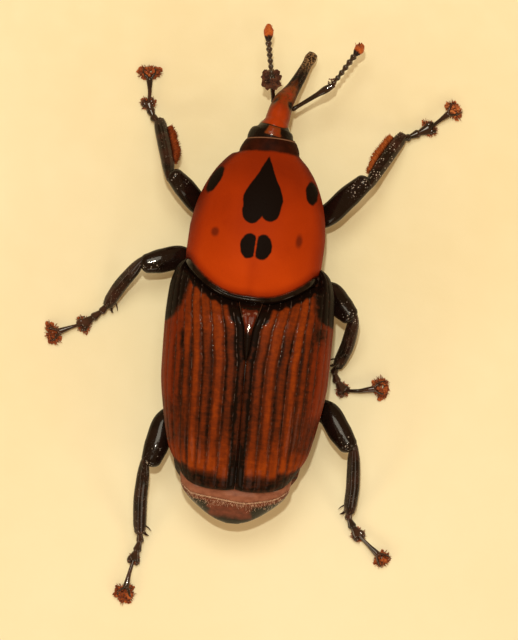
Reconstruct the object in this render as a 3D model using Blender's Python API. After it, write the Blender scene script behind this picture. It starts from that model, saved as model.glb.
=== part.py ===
"""A red palm weevil at life size, standing still on a flat floor, one leg in mid stride.

All sizes are in millimetres, and MM turns them into metres where a mesh is made. The weevil faces
+Y, its right side is towards +X, and its soles lie at z = 0. Each plate or limb segment is a
closed solid of its own, and neighbours keep a small clear gap.
"""

import math
import random

import bmesh
import bpy
from mathutils import Matrix, Vector

MM = 0.001
GAP = 0.3            # between neighbouring plates and limb segments
FINE_GAP = 0.2       # between pieces under about 1.5 mm thick
UP = Vector((0.0, 0.0, 1.0))

# Where the three stretches of the body stand on the floor plan, and how far each turns to the right
HIND_PLACE = (-0.30, 0.33)
HIND_TURN = 5.0
PROTHORAX_PLACE = (0.09, 4.93)
PROTHORAX_TURN = 8.3
HEAD_PLACE = (1.20, 12.78)
HEAD_TURN = 18.0

# Hind body, tail to shoulder: distance along its axis, half width, height of the widest line, top, bottom
HIND_BODY = (
    (-13.20, 3.85, 4.90, 7.45, 2.45),
    (-12.40, 4.36, 5.10, 7.95, 2.30),
    (-11.35, 4.78, 5.25, 8.55, 2.15),
    (-8.40, 5.56, 5.45, 9.40, 1.95),
    (-4.80, 6.09, 5.55, 9.80, 1.90),
    (-1.10, 6.15, 5.55, 9.85, 1.95),
    (1.20, 6.02, 5.50, 9.00, 2.05),
    (2.60, 5.66, 5.40, 8.60, 2.30),
    (3.20, 5.18, 5.35, 8.25, 2.65),
)
# Prothorax, back to front, in the same columns; the collar is the last stretch
PROTHORAX = (
    (-3.85, 4.30, 5.50, 8.95, 2.60),
    (-3.00, 4.62, 5.50, 9.30, 2.35),
    (-2.00, 4.86, 5.50, 9.50, 2.30),
    (-0.70, 4.97, 5.50, 9.60, 2.25),
    (0.70, 4.97, 5.50, 9.60, 2.25),
    (2.20, 4.80, 5.50, 9.40, 2.30),
    (3.70, 4.41, 5.45, 9.00, 2.45),
    (5.10, 3.78, 5.40, 8.40, 2.70),
    (6.20, 3.00, 5.30, 7.75, 3.00),
    (6.80, 2.30, 5.25, 7.30, 3.25),
    (7.00, 2.05, 5.25, 7.15, 3.40),
    (7.15, 2.15, 5.25, 7.25, 3.30),
    (7.70, 1.90, 5.25, 7.10, 3.45),
    (7.94, 1.66, 5.25, 6.90, 3.60),
)
# Head and beak on the floor plan, neck to tip: place, height, width, depth
HEAD = (
    (1.29, 13.06, 5.22, 3.14, 3.15),
    (1.39, 13.35, 5.21, 2.86, 3.05),
    (1.46, 13.59, 5.19, 2.50, 2.90),
    (1.54, 13.83, 5.17, 1.98, 2.70),
    (1.62, 14.05, 5.12, 1.74, 2.50),
    (1.88, 14.87, 4.95, 1.68, 2.25),
    (2.08, 15.44, 4.70, 1.60, 1.95),
    (2.45, 16.00, 4.28, 1.32, 1.50),
    (2.85, 16.60, 3.78, 1.04, 1.18),
    (3.40, 17.53, 3.00, 0.88, 0.98),
    (3.89, 18.45, 2.15, 0.76, 0.84),
    (4.12, 18.85, 1.80, 0.88, 0.78),
    (4.22, 19.02, 1.65, 0.80, 0.66),
)
EYE_PLACE = (0.90, 0.92, 4.85)
EYE_RADII = (0.31, 0.36, 0.82)

FLAT_TOP = 2.5        # squareness of the back's cross-section; 2 is an ellipse
ROUND_BELLY = 1.9     # and of the underside's

# Wing covers
COVER_THICK = 0.55
COVER_REAR = -13.20
COVER_FRONT = 3.20
COVER_EDGE_DROP = 0.5      # how far the side edge hangs below the widest line
COVER_INTERVALS = 9
GROOVE_DEPTH = 0.16
COVER_STATIONS = (-13.2, -12.8, -12.2, -11.3, -10.0, -8.4, -6.6, -4.8, -3.9, -3.0, -1.5, -0.6, 0.4, 1.3, 2.1, 2.7, 3.2)
APEX_LAG = 1.0             # the outer corner of each rear margin lies this far forward
SUTURE_GAP = 0.30
# Scutellum, tip to front: distance along the axis and half width
SCUTELLUM = ((-3.66, 0.06), (-2.90, 0.20), (-1.50, 0.30), (-0.60, 0.56), (0.40, 0.75))

# Trunk under the covers
THORAX_REAR = -6.40
BELLY_REAR = -12.00
BELLY_PLATES = 4
BELLY_STEP = 0.14
MARGIN_SIDE = -1.70        # how far back the prothorax reaches at its sides
MARGIN_BELLY = -0.80       # and below; its upper rear margin is an arc between the two sides
MARGIN_ARC = 2.6
MARGIN_START = 1.0         # ahead of this the prothorax's rings stand upright
PYGIDIUM = (
    (-12.30, 4.20, 4.95, 6.95, 2.35),
    (-12.95, 3.95, 4.90, 6.90, 2.45),
    (-13.45, 3.72, 4.85, 6.70, 2.55),
    (-13.95, 3.30, 4.75, 6.30, 2.75),
    (-14.50, 2.66, 4.55, 5.75, 3.00),
    (-15.05, 1.90, 4.35, 5.10, 3.30),
    (-15.45, 1.15, 4.20, 4.65, 3.55),
    (-15.70, 0.40, 4.08, 4.30, 3.80),
)

# Legs: hip socket centre, then the femur's bend, the knee, the ankle, two toe joints, the broad
# toe pad, the root of the claw joint and the end of the claw joint; then the femur's width
LEGS = {
    "front_left": ((-0.85, 6.50, 2.60), (-4.14, 8.16, 3.50), (-6.04, 9.99, 4.70), (-6.99, 14.16, 0.95),
                   (-7.45, 14.55, 0.66), (-7.66, 15.04, 0.48), (-7.86, 15.60, 0.26),
                   (-7.74, 16.08, 0.42), (-7.76, 17.36, 0.60), 1.58),
    "front_right": ((1.40, 6.25, 2.60), (5.30, 7.26, 3.40), (8.18, 9.42, 4.20), (10.83, 13.05, 0.95),
                    (11.33, 13.07, 0.66), (12.02, 13.36, 0.48), (12.94, 13.77, 0.26),
                    (13.36, 14.10, 0.42), (14.30, 14.80, 0.60), 1.66),
    "mid_left": ((-2.10, 2.15, 2.60), (-5.60, 4.18, 3.20), (-8.02, 3.92, 3.60), (-10.76, 0.84, 0.90),
                 (-11.24, 0.29, 0.64), (-11.84, -0.14, 0.48), (-12.66, -0.70, 0.26),
                 (-13.08, -0.76, 0.42), (-14.40, -1.22, 0.60), 1.78),
    "mid_right": ((1.90, 1.95, 2.60), (5.56, 1.50, 3.20), (7.14, -0.08, 4.10), (6.22, -3.66, 0.90),
                  (5.88, -4.22, 0.64), (6.06, -4.85, 0.48), (6.54, -5.60, 0.26),
                  (6.99, -5.73, 0.42), (8.80, -5.50, 0.60), 1.80),
    "hind_left": ((-3.70, -5.90, 2.60), (-6.62, -8.05, 3.05), (-7.82, -10.58, 3.50), (-8.48, -15.90, 0.90),
                  (-8.46, -16.66, 0.64), (-8.66, -17.34, 0.48), (-8.92, -18.06, 0.26),
                  (-9.12, -18.56, 0.42), (-9.50, -20.08, 0.60), 1.82),
    "hind_right": ((2.55, -6.30, 2.60), (5.42, -7.28, 3.20), (7.08, -9.52, 3.90), (7.02, -14.42, 0.90),
                   (6.94, -14.98, 0.64), (7.20, -15.60, 0.48), (7.66, -16.28, 0.26),
                   (8.06, -16.68, 0.42), (9.05, -17.68, 0.60), 1.76),
}
COXA_RADII = (1.10, 1.10, 1.10)
TIBIA_WIDTH = 1.00
TIBIA_BOW = {"front": 0.0, "mid": 0.26, "hind": 0.20}      # the middle and hind shins bend outwards
KNEE_LOBE = 0.20          # the femur's end reaches past the knee on the body's side
CLUMP_LUMPS = 4

# Feelers: root of the scape, the elbow, the end of the six beads, the end of the club
FEELERS = {
    "left": ((1.38, 15.62, 4.30), (1.26, 17.40, 5.50), (1.02, 19.98, 4.70), (1.04, 21.10, 4.45)),
    "right": ((2.86, 15.05, 4.10), (5.64, 16.70, 4.50), (7.36, 19.00, 4.00), (7.86, 19.66, 3.85)),
}
SCAPE_WIDTHS = (0.34, 0.56)
BEAD_WIDTH = 0.46
BEADS = 6
CLUB_WIDTH = 0.68

# Brush on the inner side of each front tibia
BRUSH_LOCKS = 9
BRUSH_SPAN = (0.22, 0.86)
BRUSH_REACH = 0.62

for leftover in list(bpy.data.objects):
    bpy.data.objects.remove(leftover)


def finish(name, colour, roughness):
    """A plain material of one colour."""
    material = bpy.data.materials.new(name)
    material.use_nodes = True
    shader = material.node_tree.nodes["Principled BSDF"]
    shader.inputs["Base Color"].default_value = (*colour, 1.0)
    shader.inputs["Roughness"].default_value = roughness
    shader.inputs["Metallic"].default_value = 0.0
    return material


def sizes_at(stations, t):
    """The sizes at distance t, on a smooth curve through the stations that doesn't overshoot them."""
    if t <= stations[0][0]:
        return list(stations[0][1:])
    if t >= stations[-1][0]:
        return list(stations[-1][1:])
    i = max(k for k in range(len(stations) - 1) if stations[k][0] <= t)
    here, there = stations[i], stations[i + 1]
    step = there[0] - here[0]
    share = (t - here[0]) / step

    last = len(stations) - 1

    def secant(k, column):
        return (stations[k + 1][column] - stations[k][column]) / (stations[k + 1][0] - stations[k][0])

    def slope(k, column):
        if k in (0, last):
            return secant(min(k, last - 1), column)
        before, after = secant(k - 1, column), secant(k, column)
        return 0.0 if before * after <= 0 else 2 * before * after / (before + after)

    values = []
    for column in range(1, len(here)):
        a, b = here[column], there[column]
        m, n = slope(i, column) * step, slope(i + 1, column) * step
        cube, square = share ** 3, share ** 2
        values.append(a * (2 * cube - 3 * square + 1) + m * (cube - 2 * square + share)
                      + b * (3 * square - 2 * cube) + n * (cube - square))
    return values


def signed_power(value, power):
    return math.copysign(abs(value) ** power, value)


def solid(name, rings, material, parent=None):
    """A closed mesh through rings of points; a ring of one point is a tip, and open ends get a face."""
    bm = bmesh.new()
    loops = [[bm.verts.new(Vector(point) * MM) for point in ring] for ring in rings]
    for a, b in zip(loops, loops[1:]):
        count = max(len(a), len(b))
        for k in range(count):
            corners = [a[k % len(a)], a[(k + 1) % len(a)], b[(k + 1) % len(b)], b[k % len(b)]]
            bm.faces.new(dict.fromkeys(corners))
    for end in (loops[0], loops[-1]):
        if len(end) > 2:
            bm.faces.new(end)
    bmesh.ops.recalc_face_normals(bm, faces=bm.faces)
    mesh = bpy.data.meshes.new(name)
    bm.to_mesh(mesh)
    bm.free()
    mesh.materials.append(material)
    mesh.shade_smooth()
    mesh.set_sharp_from_angle(angle=math.radians(50))
    piece = bpy.data.objects.new(name, mesh)
    bpy.context.scene.collection.objects.link(piece)
    piece.parent = parent
    return piece


def keep_largest(piece):
    """Drops every closed surface of the mesh but the one that holds the most."""
    bm = bmesh.new()
    bm.from_mesh(piece.data)
    left, shells = set(bm.faces), []
    while left:
        stack, shell = [left.pop()], []
        while stack:
            face = stack.pop()
            shell.append(face)
            for edge in face.edges:
                for other in edge.link_faces:
                    if other in left:
                        left.remove(other)
                        stack.append(other)
        held = sum(f.calc_area() * f.normal.dot(f.calc_center_median()) for f in shell)
        shells.append((held, shell))
    shells.sort(key=lambda pair: pair[0])
    for _, shell in shells[:-1]:
        bmesh.ops.delete(bm, geom=shell, context="FACES")
    bm.to_mesh(piece.data)
    bm.free()


def apply_modifiers(piece):
    bpy.context.view_layer.update()
    graph = bpy.context.evaluated_depsgraph_get()
    made = bpy.data.meshes.new_from_object(piece.evaluated_get(graph))
    piece.modifiers.clear()
    old, piece.data = piece.data, made
    bpy.data.meshes.remove(old)
    made.name = piece.name
    made.shade_smooth()
    made.set_sharp_from_angle(angle=math.radians(50))


def carve(piece, *cutters):
    """Cuts each cutter out of the piece, which keeps its largest closed part, and removes the cutters."""
    for cutter in cutters:
        cut = piece.modifiers.new("cut", "BOOLEAN")
        cut.operation = "DIFFERENCE"
        cut.solver = "EXACT"
        cut.object = cutter
    apply_modifiers(piece)
    keep_largest(piece)
    for cutter in cutters:
        bpy.data.objects.remove(cutter)
    return piece


def fuse(piece, others):
    """Joins closed pieces that overlap it into one closed piece, and removes them."""
    if not others:
        return piece
    group = bpy.data.collections.new(piece.name + "_pieces")
    bpy.context.scene.collection.children.link(group)
    for other in others:
        bpy.context.scene.collection.objects.unlink(other)
        group.objects.link(other)
    union = piece.modifiers.new("union", "BOOLEAN")
    union.operation = "UNION"
    union.solver = "EXACT"
    union.operand_type = "COLLECTION"
    union.collection = group
    apply_modifiers(piece)
    keep_largest(piece)
    for other in others:
        bpy.data.objects.remove(other)
    bpy.data.collections.remove(group)
    return piece


def trim(piece, point, away):
    """Cuts the piece flat at a plane and drops what lies on the side that away points to."""
    bm = bmesh.new()
    bm.from_mesh(piece.data)
    geometry = list(bm.verts) + list(bm.edges) + list(bm.faces)
    found = bmesh.ops.bisect_plane(bm, geom=geometry, plane_co=Vector(point) * MM,
                                   plane_no=Vector(away), clear_outer=True)
    rim = [e for e in found["geom_cut"] if isinstance(e, bmesh.types.BMEdge)]
    bmesh.ops.holes_fill(bm, edges=rim, sides=0)
    bmesh.ops.recalc_face_normals(bm, faces=bm.faces)
    bm.to_mesh(piece.data)
    bm.free()
    return piece


def axis_empty(name, place, turn):
    """The frame of one stretch of the body: +y runs along its axis, towards the head."""
    empty = bpy.data.objects.new(name, None)
    bpy.context.scene.collection.objects.link(empty)
    empty.location = (place[0] * MM, place[1] * MM, 0.0)
    empty.rotation_euler = (0.0, 0.0, -math.radians(turn))
    return empty


def round_section(y, sizes, count, grow=0.0, square=2.2):
    """A ring round the body: squarer above its widest line, rounder below."""
    half, side, top, bottom = sizes
    ring = []
    for k in range(count):
        angle = 2 * math.pi * k / count
        power = square if angle < math.pi else ROUND_BELLY
        reach = (top - side if angle < math.pi else side - bottom) + grow
        x = (half + grow) * signed_power(math.cos(angle), 2 / power)
        ring.append(Vector((x, y, side + reach * signed_power(math.sin(angle), 2 / power))))
    return ring


def even_arc(half, rise, power, start, count):
    """Points evenly spaced along a quarter of a rounded square, from x = start at the top to its side."""
    fine = 90
    points = []
    for k in range(fine + 1):
        angle = math.pi / 2 * (1 - k / fine)
        x = half * abs(math.cos(angle)) ** (2 / power)
        z = rise * abs(math.sin(angle)) ** (2 / power)
        if x >= start:
            points.append((x, z))
    first = rise * max(0.0, 1 - (start / half) ** power) ** (1 / power)
    points.insert(0, (start, first))
    length = [0.0]
    for a, b in zip(points, points[1:]):
        length.append(length[-1] + math.dist(a, b))
    found = []
    for k in range(count):
        want = length[-1] * k / (count - 1)
        i = max(j for j in range(len(length) - 1) if length[j] <= want + 1e-9)
        share = (want - length[i]) / max(length[i + 1] - length[i], 1e-9)
        found.append((points[i][0] + share * (points[i + 1][0] - points[i][0]),
                      points[i][1] + share * (points[i + 1][1] - points[i][1])))
    return found


def oval(centre, side, up, half_side, half_up, count):
    return [centre + side * (half_side * math.cos(2 * math.pi * k / count))
            + up * (half_up * math.sin(2 * math.pi * k / count)) for k in range(count)]


def limb_rings(path, count, steps, grow=0.0, up=UP, blunt_start=False):
    """Rings round a smooth path of (x, y, z, width, thickness) rows, with rounded ends."""
    rows, run = [], 0.0
    for k, row in enumerate(path):
        if k:
            run += (Vector(row[:3]) - Vector(path[k - 1][:3])).length
        rows.append((run, *row))
    spots = [sizes_at(rows, run * k / steps) for k in range(steps + 1)]
    centres = [Vector(s[:3]) for s in spots]
    rings = []
    for k, spot in enumerate(spots):
        ahead = (centres[min(k + 1, steps)] - centres[max(k - 1, 0)]).normalized()
        side = ahead.cross(up).normalized()
        lift = side.cross(ahead)
        half_side, half_up = spot[3] / 2 + grow, spot[4] / 2 + grow
        ring = [oval(centres[k], side, lift, half_side, half_up, count)]
        if k == steps or (k == 0 and not blunt_start):
            out = -ahead if k == 0 else ahead
            reach = min(half_side, half_up)
            for degrees in (40, 70):
                away = math.radians(degrees)
                ring.append(oval(centres[k] + out * (reach * math.sin(away)), side, lift,
                                 half_side * math.cos(away), half_up * math.cos(away), count))
            ring.append([centres[k] + out * reach])
            if k == 0:
                ring.reverse()
        rings.extend(ring)
    return rings


def ball_rings(centre, radii, count, levels, grow=0.0, turn=0.0):
    """An egg-shaped ball with its poles up and down."""
    rx, ry, rz = (r + grow for r in radii)
    spin = Matrix.Rotation(-math.radians(turn), 3, "Z")
    centre = Vector(centre)
    rings = [[centre - UP * rz]]
    for level in range(1, levels):
        angle = math.pi * level / levels
        ring = [centre + spin @ Vector((rx * math.sin(angle) * math.cos(2 * math.pi * k / count),
                                        ry * math.sin(angle) * math.sin(2 * math.pi * k / count),
                                        -rz * math.cos(angle))) for k in range(count)]
        rings.append(ring)
    rings.append([centre + UP * rz])
    return rings


BLACK = finish("black_chitin", (0.012, 0.009, 0.008), 0.25)
ORANGE = finish("orange_chitin", (0.50, 0.09, 0.012), 0.3)
STRIPED = finish("striped_chitin", (0.22, 0.045, 0.012), 0.35)
MAROON = finish("maroon_chitin", (0.10, 0.02, 0.012), 0.4)
BRISTLE = finish("rust_bristle", (0.30, 0.08, 0.025), 0.8)

hind_axis = axis_empty("hind_axis", HIND_PLACE, HIND_TURN)
prothorax_axis = axis_empty("prothorax_axis", PROTHORAX_PLACE, PROTHORAX_TURN)
head_axis = axis_empty("head_axis", HEAD_PLACE, HEAD_TURN)


# Prothorax with its collar

def rear_margin(angle):
    """How far back the prothorax reaches at an angle round it: furthest on the middle of the back."""
    back = PROTHORAX[0][0]
    if angle < math.pi:
        return back + (MARGIN_SIDE - back) * abs(math.cos(angle)) ** MARGIN_ARC
    return MARGIN_SIDE + (MARGIN_BELLY - MARGIN_SIDE) * abs(math.sin(angle))


def prothorax_rings(count, grow=0.0):
    """Rings that bend towards the tail on the back, so that the rear margin is an arc, and a blunt rear end."""
    rings = []
    back, front = PROTHORAX[0][0], PROTHORAX[-1][0]
    for station in PROTHORAX:
        ring = []
        for k in range(count):
            angle = 2 * math.pi * k / count
            y = station[0]
            if y < MARGIN_START:
                y = MARGIN_START + (y - MARGIN_START) * (rear_margin(angle) - MARGIN_START) / (back - MARGIN_START)
            point = round_section(y, sizes_at(PROTHORAX, y), count, grow)[k]
            if station[0] in (back, front):
                point.y += grow if station[0] == front else -grow
            ring.append(point)
        rings.append(ring)
    return [[sum(rings[0], Vector()) / count], *rings]


prothorax = solid("prothorax", prothorax_rings(26), ORANGE, prothorax_axis)


def grown_prothorax():
    return solid("cut", prothorax_rings(26, GAP), BLACK, prothorax_axis)


# Wing covers, with a groove between each two of their ridges

def inner_edge(y):
    """How far a cover's inner edge lies from the middle: it parts round the scutellum."""
    tip, front = SCUTELLUM[0], SCUTELLUM[-1]
    if y <= tip[0] - GAP:
        return SUTURE_GAP / 2
    return max(SUTURE_GAP / 2, sizes_at(SCUTELLUM, min(y, front[0]))[0] + GAP)


def rear_lag(x, y):
    """How far forward a point of the covers' last stretch moves, so that each rear corner is rounded."""
    return min(max((-10.2 - y) / 3.0, 0.0), 1.0) ** 1.5 * APEX_LAG * (abs(x) / 4.2) ** 4


def cover_ring(y, mirror):
    half, side, top, _ = sizes_at(HIND_BODY, y)
    start = inner_edge(y)
    rise = top - side
    count = COVER_INTERVALS * 3 + 1
    arc = even_arc(half, rise, FLAT_TOP, start, count)
    outer = []
    for k, (x, z) in enumerate(arc):
        before, after = arc[max(k - 1, 0)], arc[min(k + 1, count - 1)]
        along = Vector((after[0] - before[0], after[1] - before[1])).normalized()
        deep = GROOVE_DEPTH if k % 3 == 0 and 0 < k < count - 1 else 0.0
        outer.append((x + along.y * deep, z - along.x * deep))
    edge = -COVER_EDGE_DROP
    inner = even_arc(half - COVER_THICK, rise - COVER_THICK, FLAT_TOP, start, 7)
    inner.append((half - COVER_THICK, edge))
    section = outer + [(half - 0.04, edge)] + inner[::-1]
    return [Vector((mirror * x, y + rear_lag(x, y), side + z)) for x, z in section]


def room_under_covers():
    """Both covers as one arch, a gap thicker than they are, to cut out of what lies under them."""
    rings = []
    thick = COVER_THICK + GAP
    for y in (COVER_REAR - GAP, COVER_REAR, *COVER_STATIONS[1:6]):
        half, side, top, _ = sizes_at(HIND_BODY, max(y, COVER_REAR))
        edge = -COVER_EDGE_DROP - GAP
        arch = [(half + 1.0, edge)]
        for size, order in ((1.0, range(17)), (-thick, range(16, -1, -1))):
            if size < 0:
                arch += [(-half - 1.0, edge), (-half + thick, edge)]
            for k in order:
                angle = math.pi * k / 16
                arch.append(((half + size) * signed_power(math.cos(angle), 2 / FLAT_TOP),
                             (top - side + size) * abs(math.sin(angle)) ** (2 / FLAT_TOP)))
        arch.append((half - thick, edge))
        rings.append([Vector((x, y + rear_lag(min(abs(x), half), max(y, COVER_REAR)), side + z)) for x, z in arch])
    return rings


for side_name, mirror in (("left", -1), ("right", 1)):
    cover = solid("elytron_" + side_name, [cover_ring(y, mirror) for y in COVER_STATIONS], STRIPED, hind_axis)
    carve(cover, grown_prothorax())


# Scutellum, the small plate between the covers' roots

def scutellum_rings():
    profile = ((-1, 0.50), (-1, 0.16), (-0.5, 0.05), (0, 0.02), (0.5, 0.05), (1, 0.16), (1, 0.50))
    rings = []
    for y in (-3.66, -3.3, -2.9, -2.2, -1.5, -1.0, -0.5, 0.0, 0.4):
        half = sizes_at(SCUTELLUM, y)[0]
        top = sizes_at(HIND_BODY, y)[2]
        rings.append([Vector((x * half, y, top - drop)) for x, drop in profile])
    return rings


scutellum = solid("scutellum", scutellum_rings(), MAROON, hind_axis)
carve(scutellum, grown_prothorax())


# Trunk under the covers

def trunk_ring(y, step=0.0):
    """A ring of the trunk: its belly shows below the covers, and its back lies a gap under them."""
    half, side, top, bottom = sizes_at(HIND_BODY, y)
    ledge = side - COVER_EDGE_DROP - GAP
    inset = COVER_THICK + GAP
    ring = []
    for k in range(13):
        angle = math.pi * k / 12
        x = (half - 0.08 - step) * signed_power(math.cos(angle), 2 / ROUND_BELLY)
        ring.append(Vector((x, y, ledge - (ledge - bottom - step) * math.sin(angle) ** (2 / ROUND_BELLY))))
    for k in range(11):
        angle = math.pi * (1 - k / 10)
        x = (half - inset) * signed_power(math.cos(angle), 2 / FLAT_TOP)
        ring.append(Vector((x, y, side + (top - side - inset) * abs(math.sin(angle)) ** (2 / FLAT_TOP))))
    ring.insert(13, Vector((-(half - inset), y, ledge + 0.04)))
    ring.append(Vector((half - inset, y, ledge + 0.04)))
    return ring


def thorax_rings():
    return [trunk_ring(y) for y in (THORAX_REAR, -5.0, -3.4, -1.7, 0.0, 1.2, 2.2, 2.7, 3.1)]


def belly_rings():
    rings = []
    front = THORAX_REAR - GAP
    length = front - BELLY_REAR
    for k in range(BELLY_PLATES):
        start = front - length * k / BELLY_PLATES
        end = front - length * (k + 1) / BELLY_PLATES
        rings += [trunk_ring(start - 0.03, BELLY_STEP), trunk_ring((start + end) / 2, BELLY_STEP / 3),
                  trunk_ring(end + 0.03)]
    return rings


thorax = solid("thorax", thorax_rings(), BLACK, hind_axis)
carve(thorax, grown_prothorax())
abdomen = solid("abdomen", belly_rings(), BLACK, hind_axis)
pygidium = solid("pygidium", [round_section(y, sizes, 20) for y, *sizes in PYGIDIUM], MAROON, hind_axis)
carve(pygidium, solid("cut", room_under_covers(), BLACK, hind_axis))


# Head with the beak, eyes in shallow sockets, and feelers

head = solid("head", limb_rings(HEAD, 14, 15, blunt_start=True), BLACK)
for side_name, mirror in (("left", -1), ("right", 1)):
    place = (mirror * EYE_PLACE[0], EYE_PLACE[1], EYE_PLACE[2])
    solid("eye_" + side_name, ball_rings(place, EYE_RADII, 10, 6), BLACK, head_axis)
    carve(head, solid("cut", ball_rings(place, EYE_RADII, 10, 6, FINE_GAP), BLACK, head_axis))


def joint(first, second, before, at, after, gap):
    """Parts two limb segments with a flat gap that halves the bend between them."""
    before, at, after = Vector(before), Vector(at), Vector(after)
    normal = ((at - before).normalized() + (after - at).normalized()).normalized()
    if first:
        trim(first, at - normal * gap / 2, normal)
    if second:
        trim(second, at + normal * gap / 2, -normal)


def between(a, b, share, lift=0.0):
    point = Vector(a).lerp(Vector(b), share)
    point.z += lift
    return tuple(point)


for side_name, (root, elbow, beads_end, club_end) in FEELERS.items():
    thin, thick = SCAPE_WIDTHS
    path = [(*root, thin, thin), (*between(root, elbow, 0.6), thin * 1.15, thin * 1.15),
            (*between(root, elbow, 0.88), thick, thick), (*elbow, thick * 0.8, thick * 0.8)]
    scape = solid("antenna_%s_scape" % side_name, limb_rings(path, 10, 7), BLACK)
    carve(head, solid("cut", limb_rings(path, 10, 7, FINE_GAP), BLACK))
    beads = []
    for k in range(BEADS):
        for share, width in ((0.02, 0.62), (0.35, 0.92), (0.75, 1.0), (0.97, 0.66)):
            beads.append((*between(elbow, beads_end, (k + share) / BEADS), BEAD_WIDTH * width, BEAD_WIDTH * width))
    beads[0] = (*elbow, BEAD_WIDTH * 0.7, BEAD_WIDTH * 0.7)
    beads[-1] = (*beads_end, BEAD_WIDTH * 0.8, BEAD_WIDTH * 0.8)
    funicle = solid("antenna_%s_funicle" % side_name, limb_rings(beads, 6, len(beads) - 1), BLACK)
    club_path = [(*beads_end, 0.40, 0.38), (*between(beads_end, club_end, 0.35), CLUB_WIDTH * 0.85, 0.48),
                 (*between(beads_end, club_end, 0.75), CLUB_WIDTH, 0.52), (*club_end, CLUB_WIDTH * 0.86, 0.46)]
    club = solid("antenna_%s_club" % side_name, limb_rings(club_path, 10, 6), ORANGE)
    joint(scape, funicle, root, elbow, beads_end, FINE_GAP)
    joint(funicle, club, elbow, beads_end, club_end, FINE_GAP)


# Legs

def lumps(name, centre, spread, count, size):
    """Small crumbs heaped round a toe, each a rough ball."""
    rng = random.Random(name)
    made = []
    for k in range(count):
        angle = 2 * math.pi * (k + rng.uniform(-0.2, 0.2)) / count
        radii = [size * rng.uniform(0.8, 1.15) for _ in range(3)]
        place = (centre[0] + spread * math.cos(angle), centre[1] + spread * math.sin(angle),
                 0.30 + rng.uniform(0.0, 0.2))
        made.append(solid(name, ball_rings(place, radii, 6, 3, turn=rng.uniform(0, 90)), BRISTLE))
    return made


def spur(name, root, tip, width):
    path = [(*root, width, width), (*between(root, tip, 0.5), width * 0.75, width * 0.7),
            (*tip, width * 0.25, width * 0.25)]
    return solid(name, limb_rings(path, 5, 2), BLACK)


def brush(name, knee, ankle, mirror):
    """Flat tapering locks in a row along the inner side of a front tibia, rooted inside it."""
    knee, ankle = Vector(knee), Vector(ankle)
    along = (ankle - knee).normalized()
    inward = along.cross(UP).normalized() * -mirror
    up = inward.cross(along)
    rng = random.Random(name)
    first, last = BRUSH_SPAN
    width = (last - first) * (ankle - knee).length / BRUSH_LOCKS
    made = []
    for k in range(BRUSH_LOCKS):
        share = (k + 0.5) / BRUSH_LOCKS
        swell = math.sin(math.pi * (0.15 + 0.7 * share))
        reach = TIBIA_WIDTH / 2 + BRUSH_REACH * (0.55 + 0.45 * swell) * rng.uniform(0.92, 1.05)
        root = TIBIA_WIDTH / 2
        base = knee.lerp(ankle, first + (last - first) * share) + up * rng.uniform(-0.06, 0.06)
        lean = along * rng.uniform(0.25, 0.40)
        rings = []
        for out, wide, thick in ((0.02, 1.25, 0.50), (root, 1.20, 0.50), (root + (reach - root) * 0.6, 1.0, 0.36),
                                 (reach, 0.5, 0.16)):
            spot = base + inward * out + lean * max(out - root, 0.0)
            rings.append(oval(spot, along, up, width / 2 * wide, thick / 2, 6))
        made.append(solid(name, rings, BRISTLE))
    return made


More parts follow.
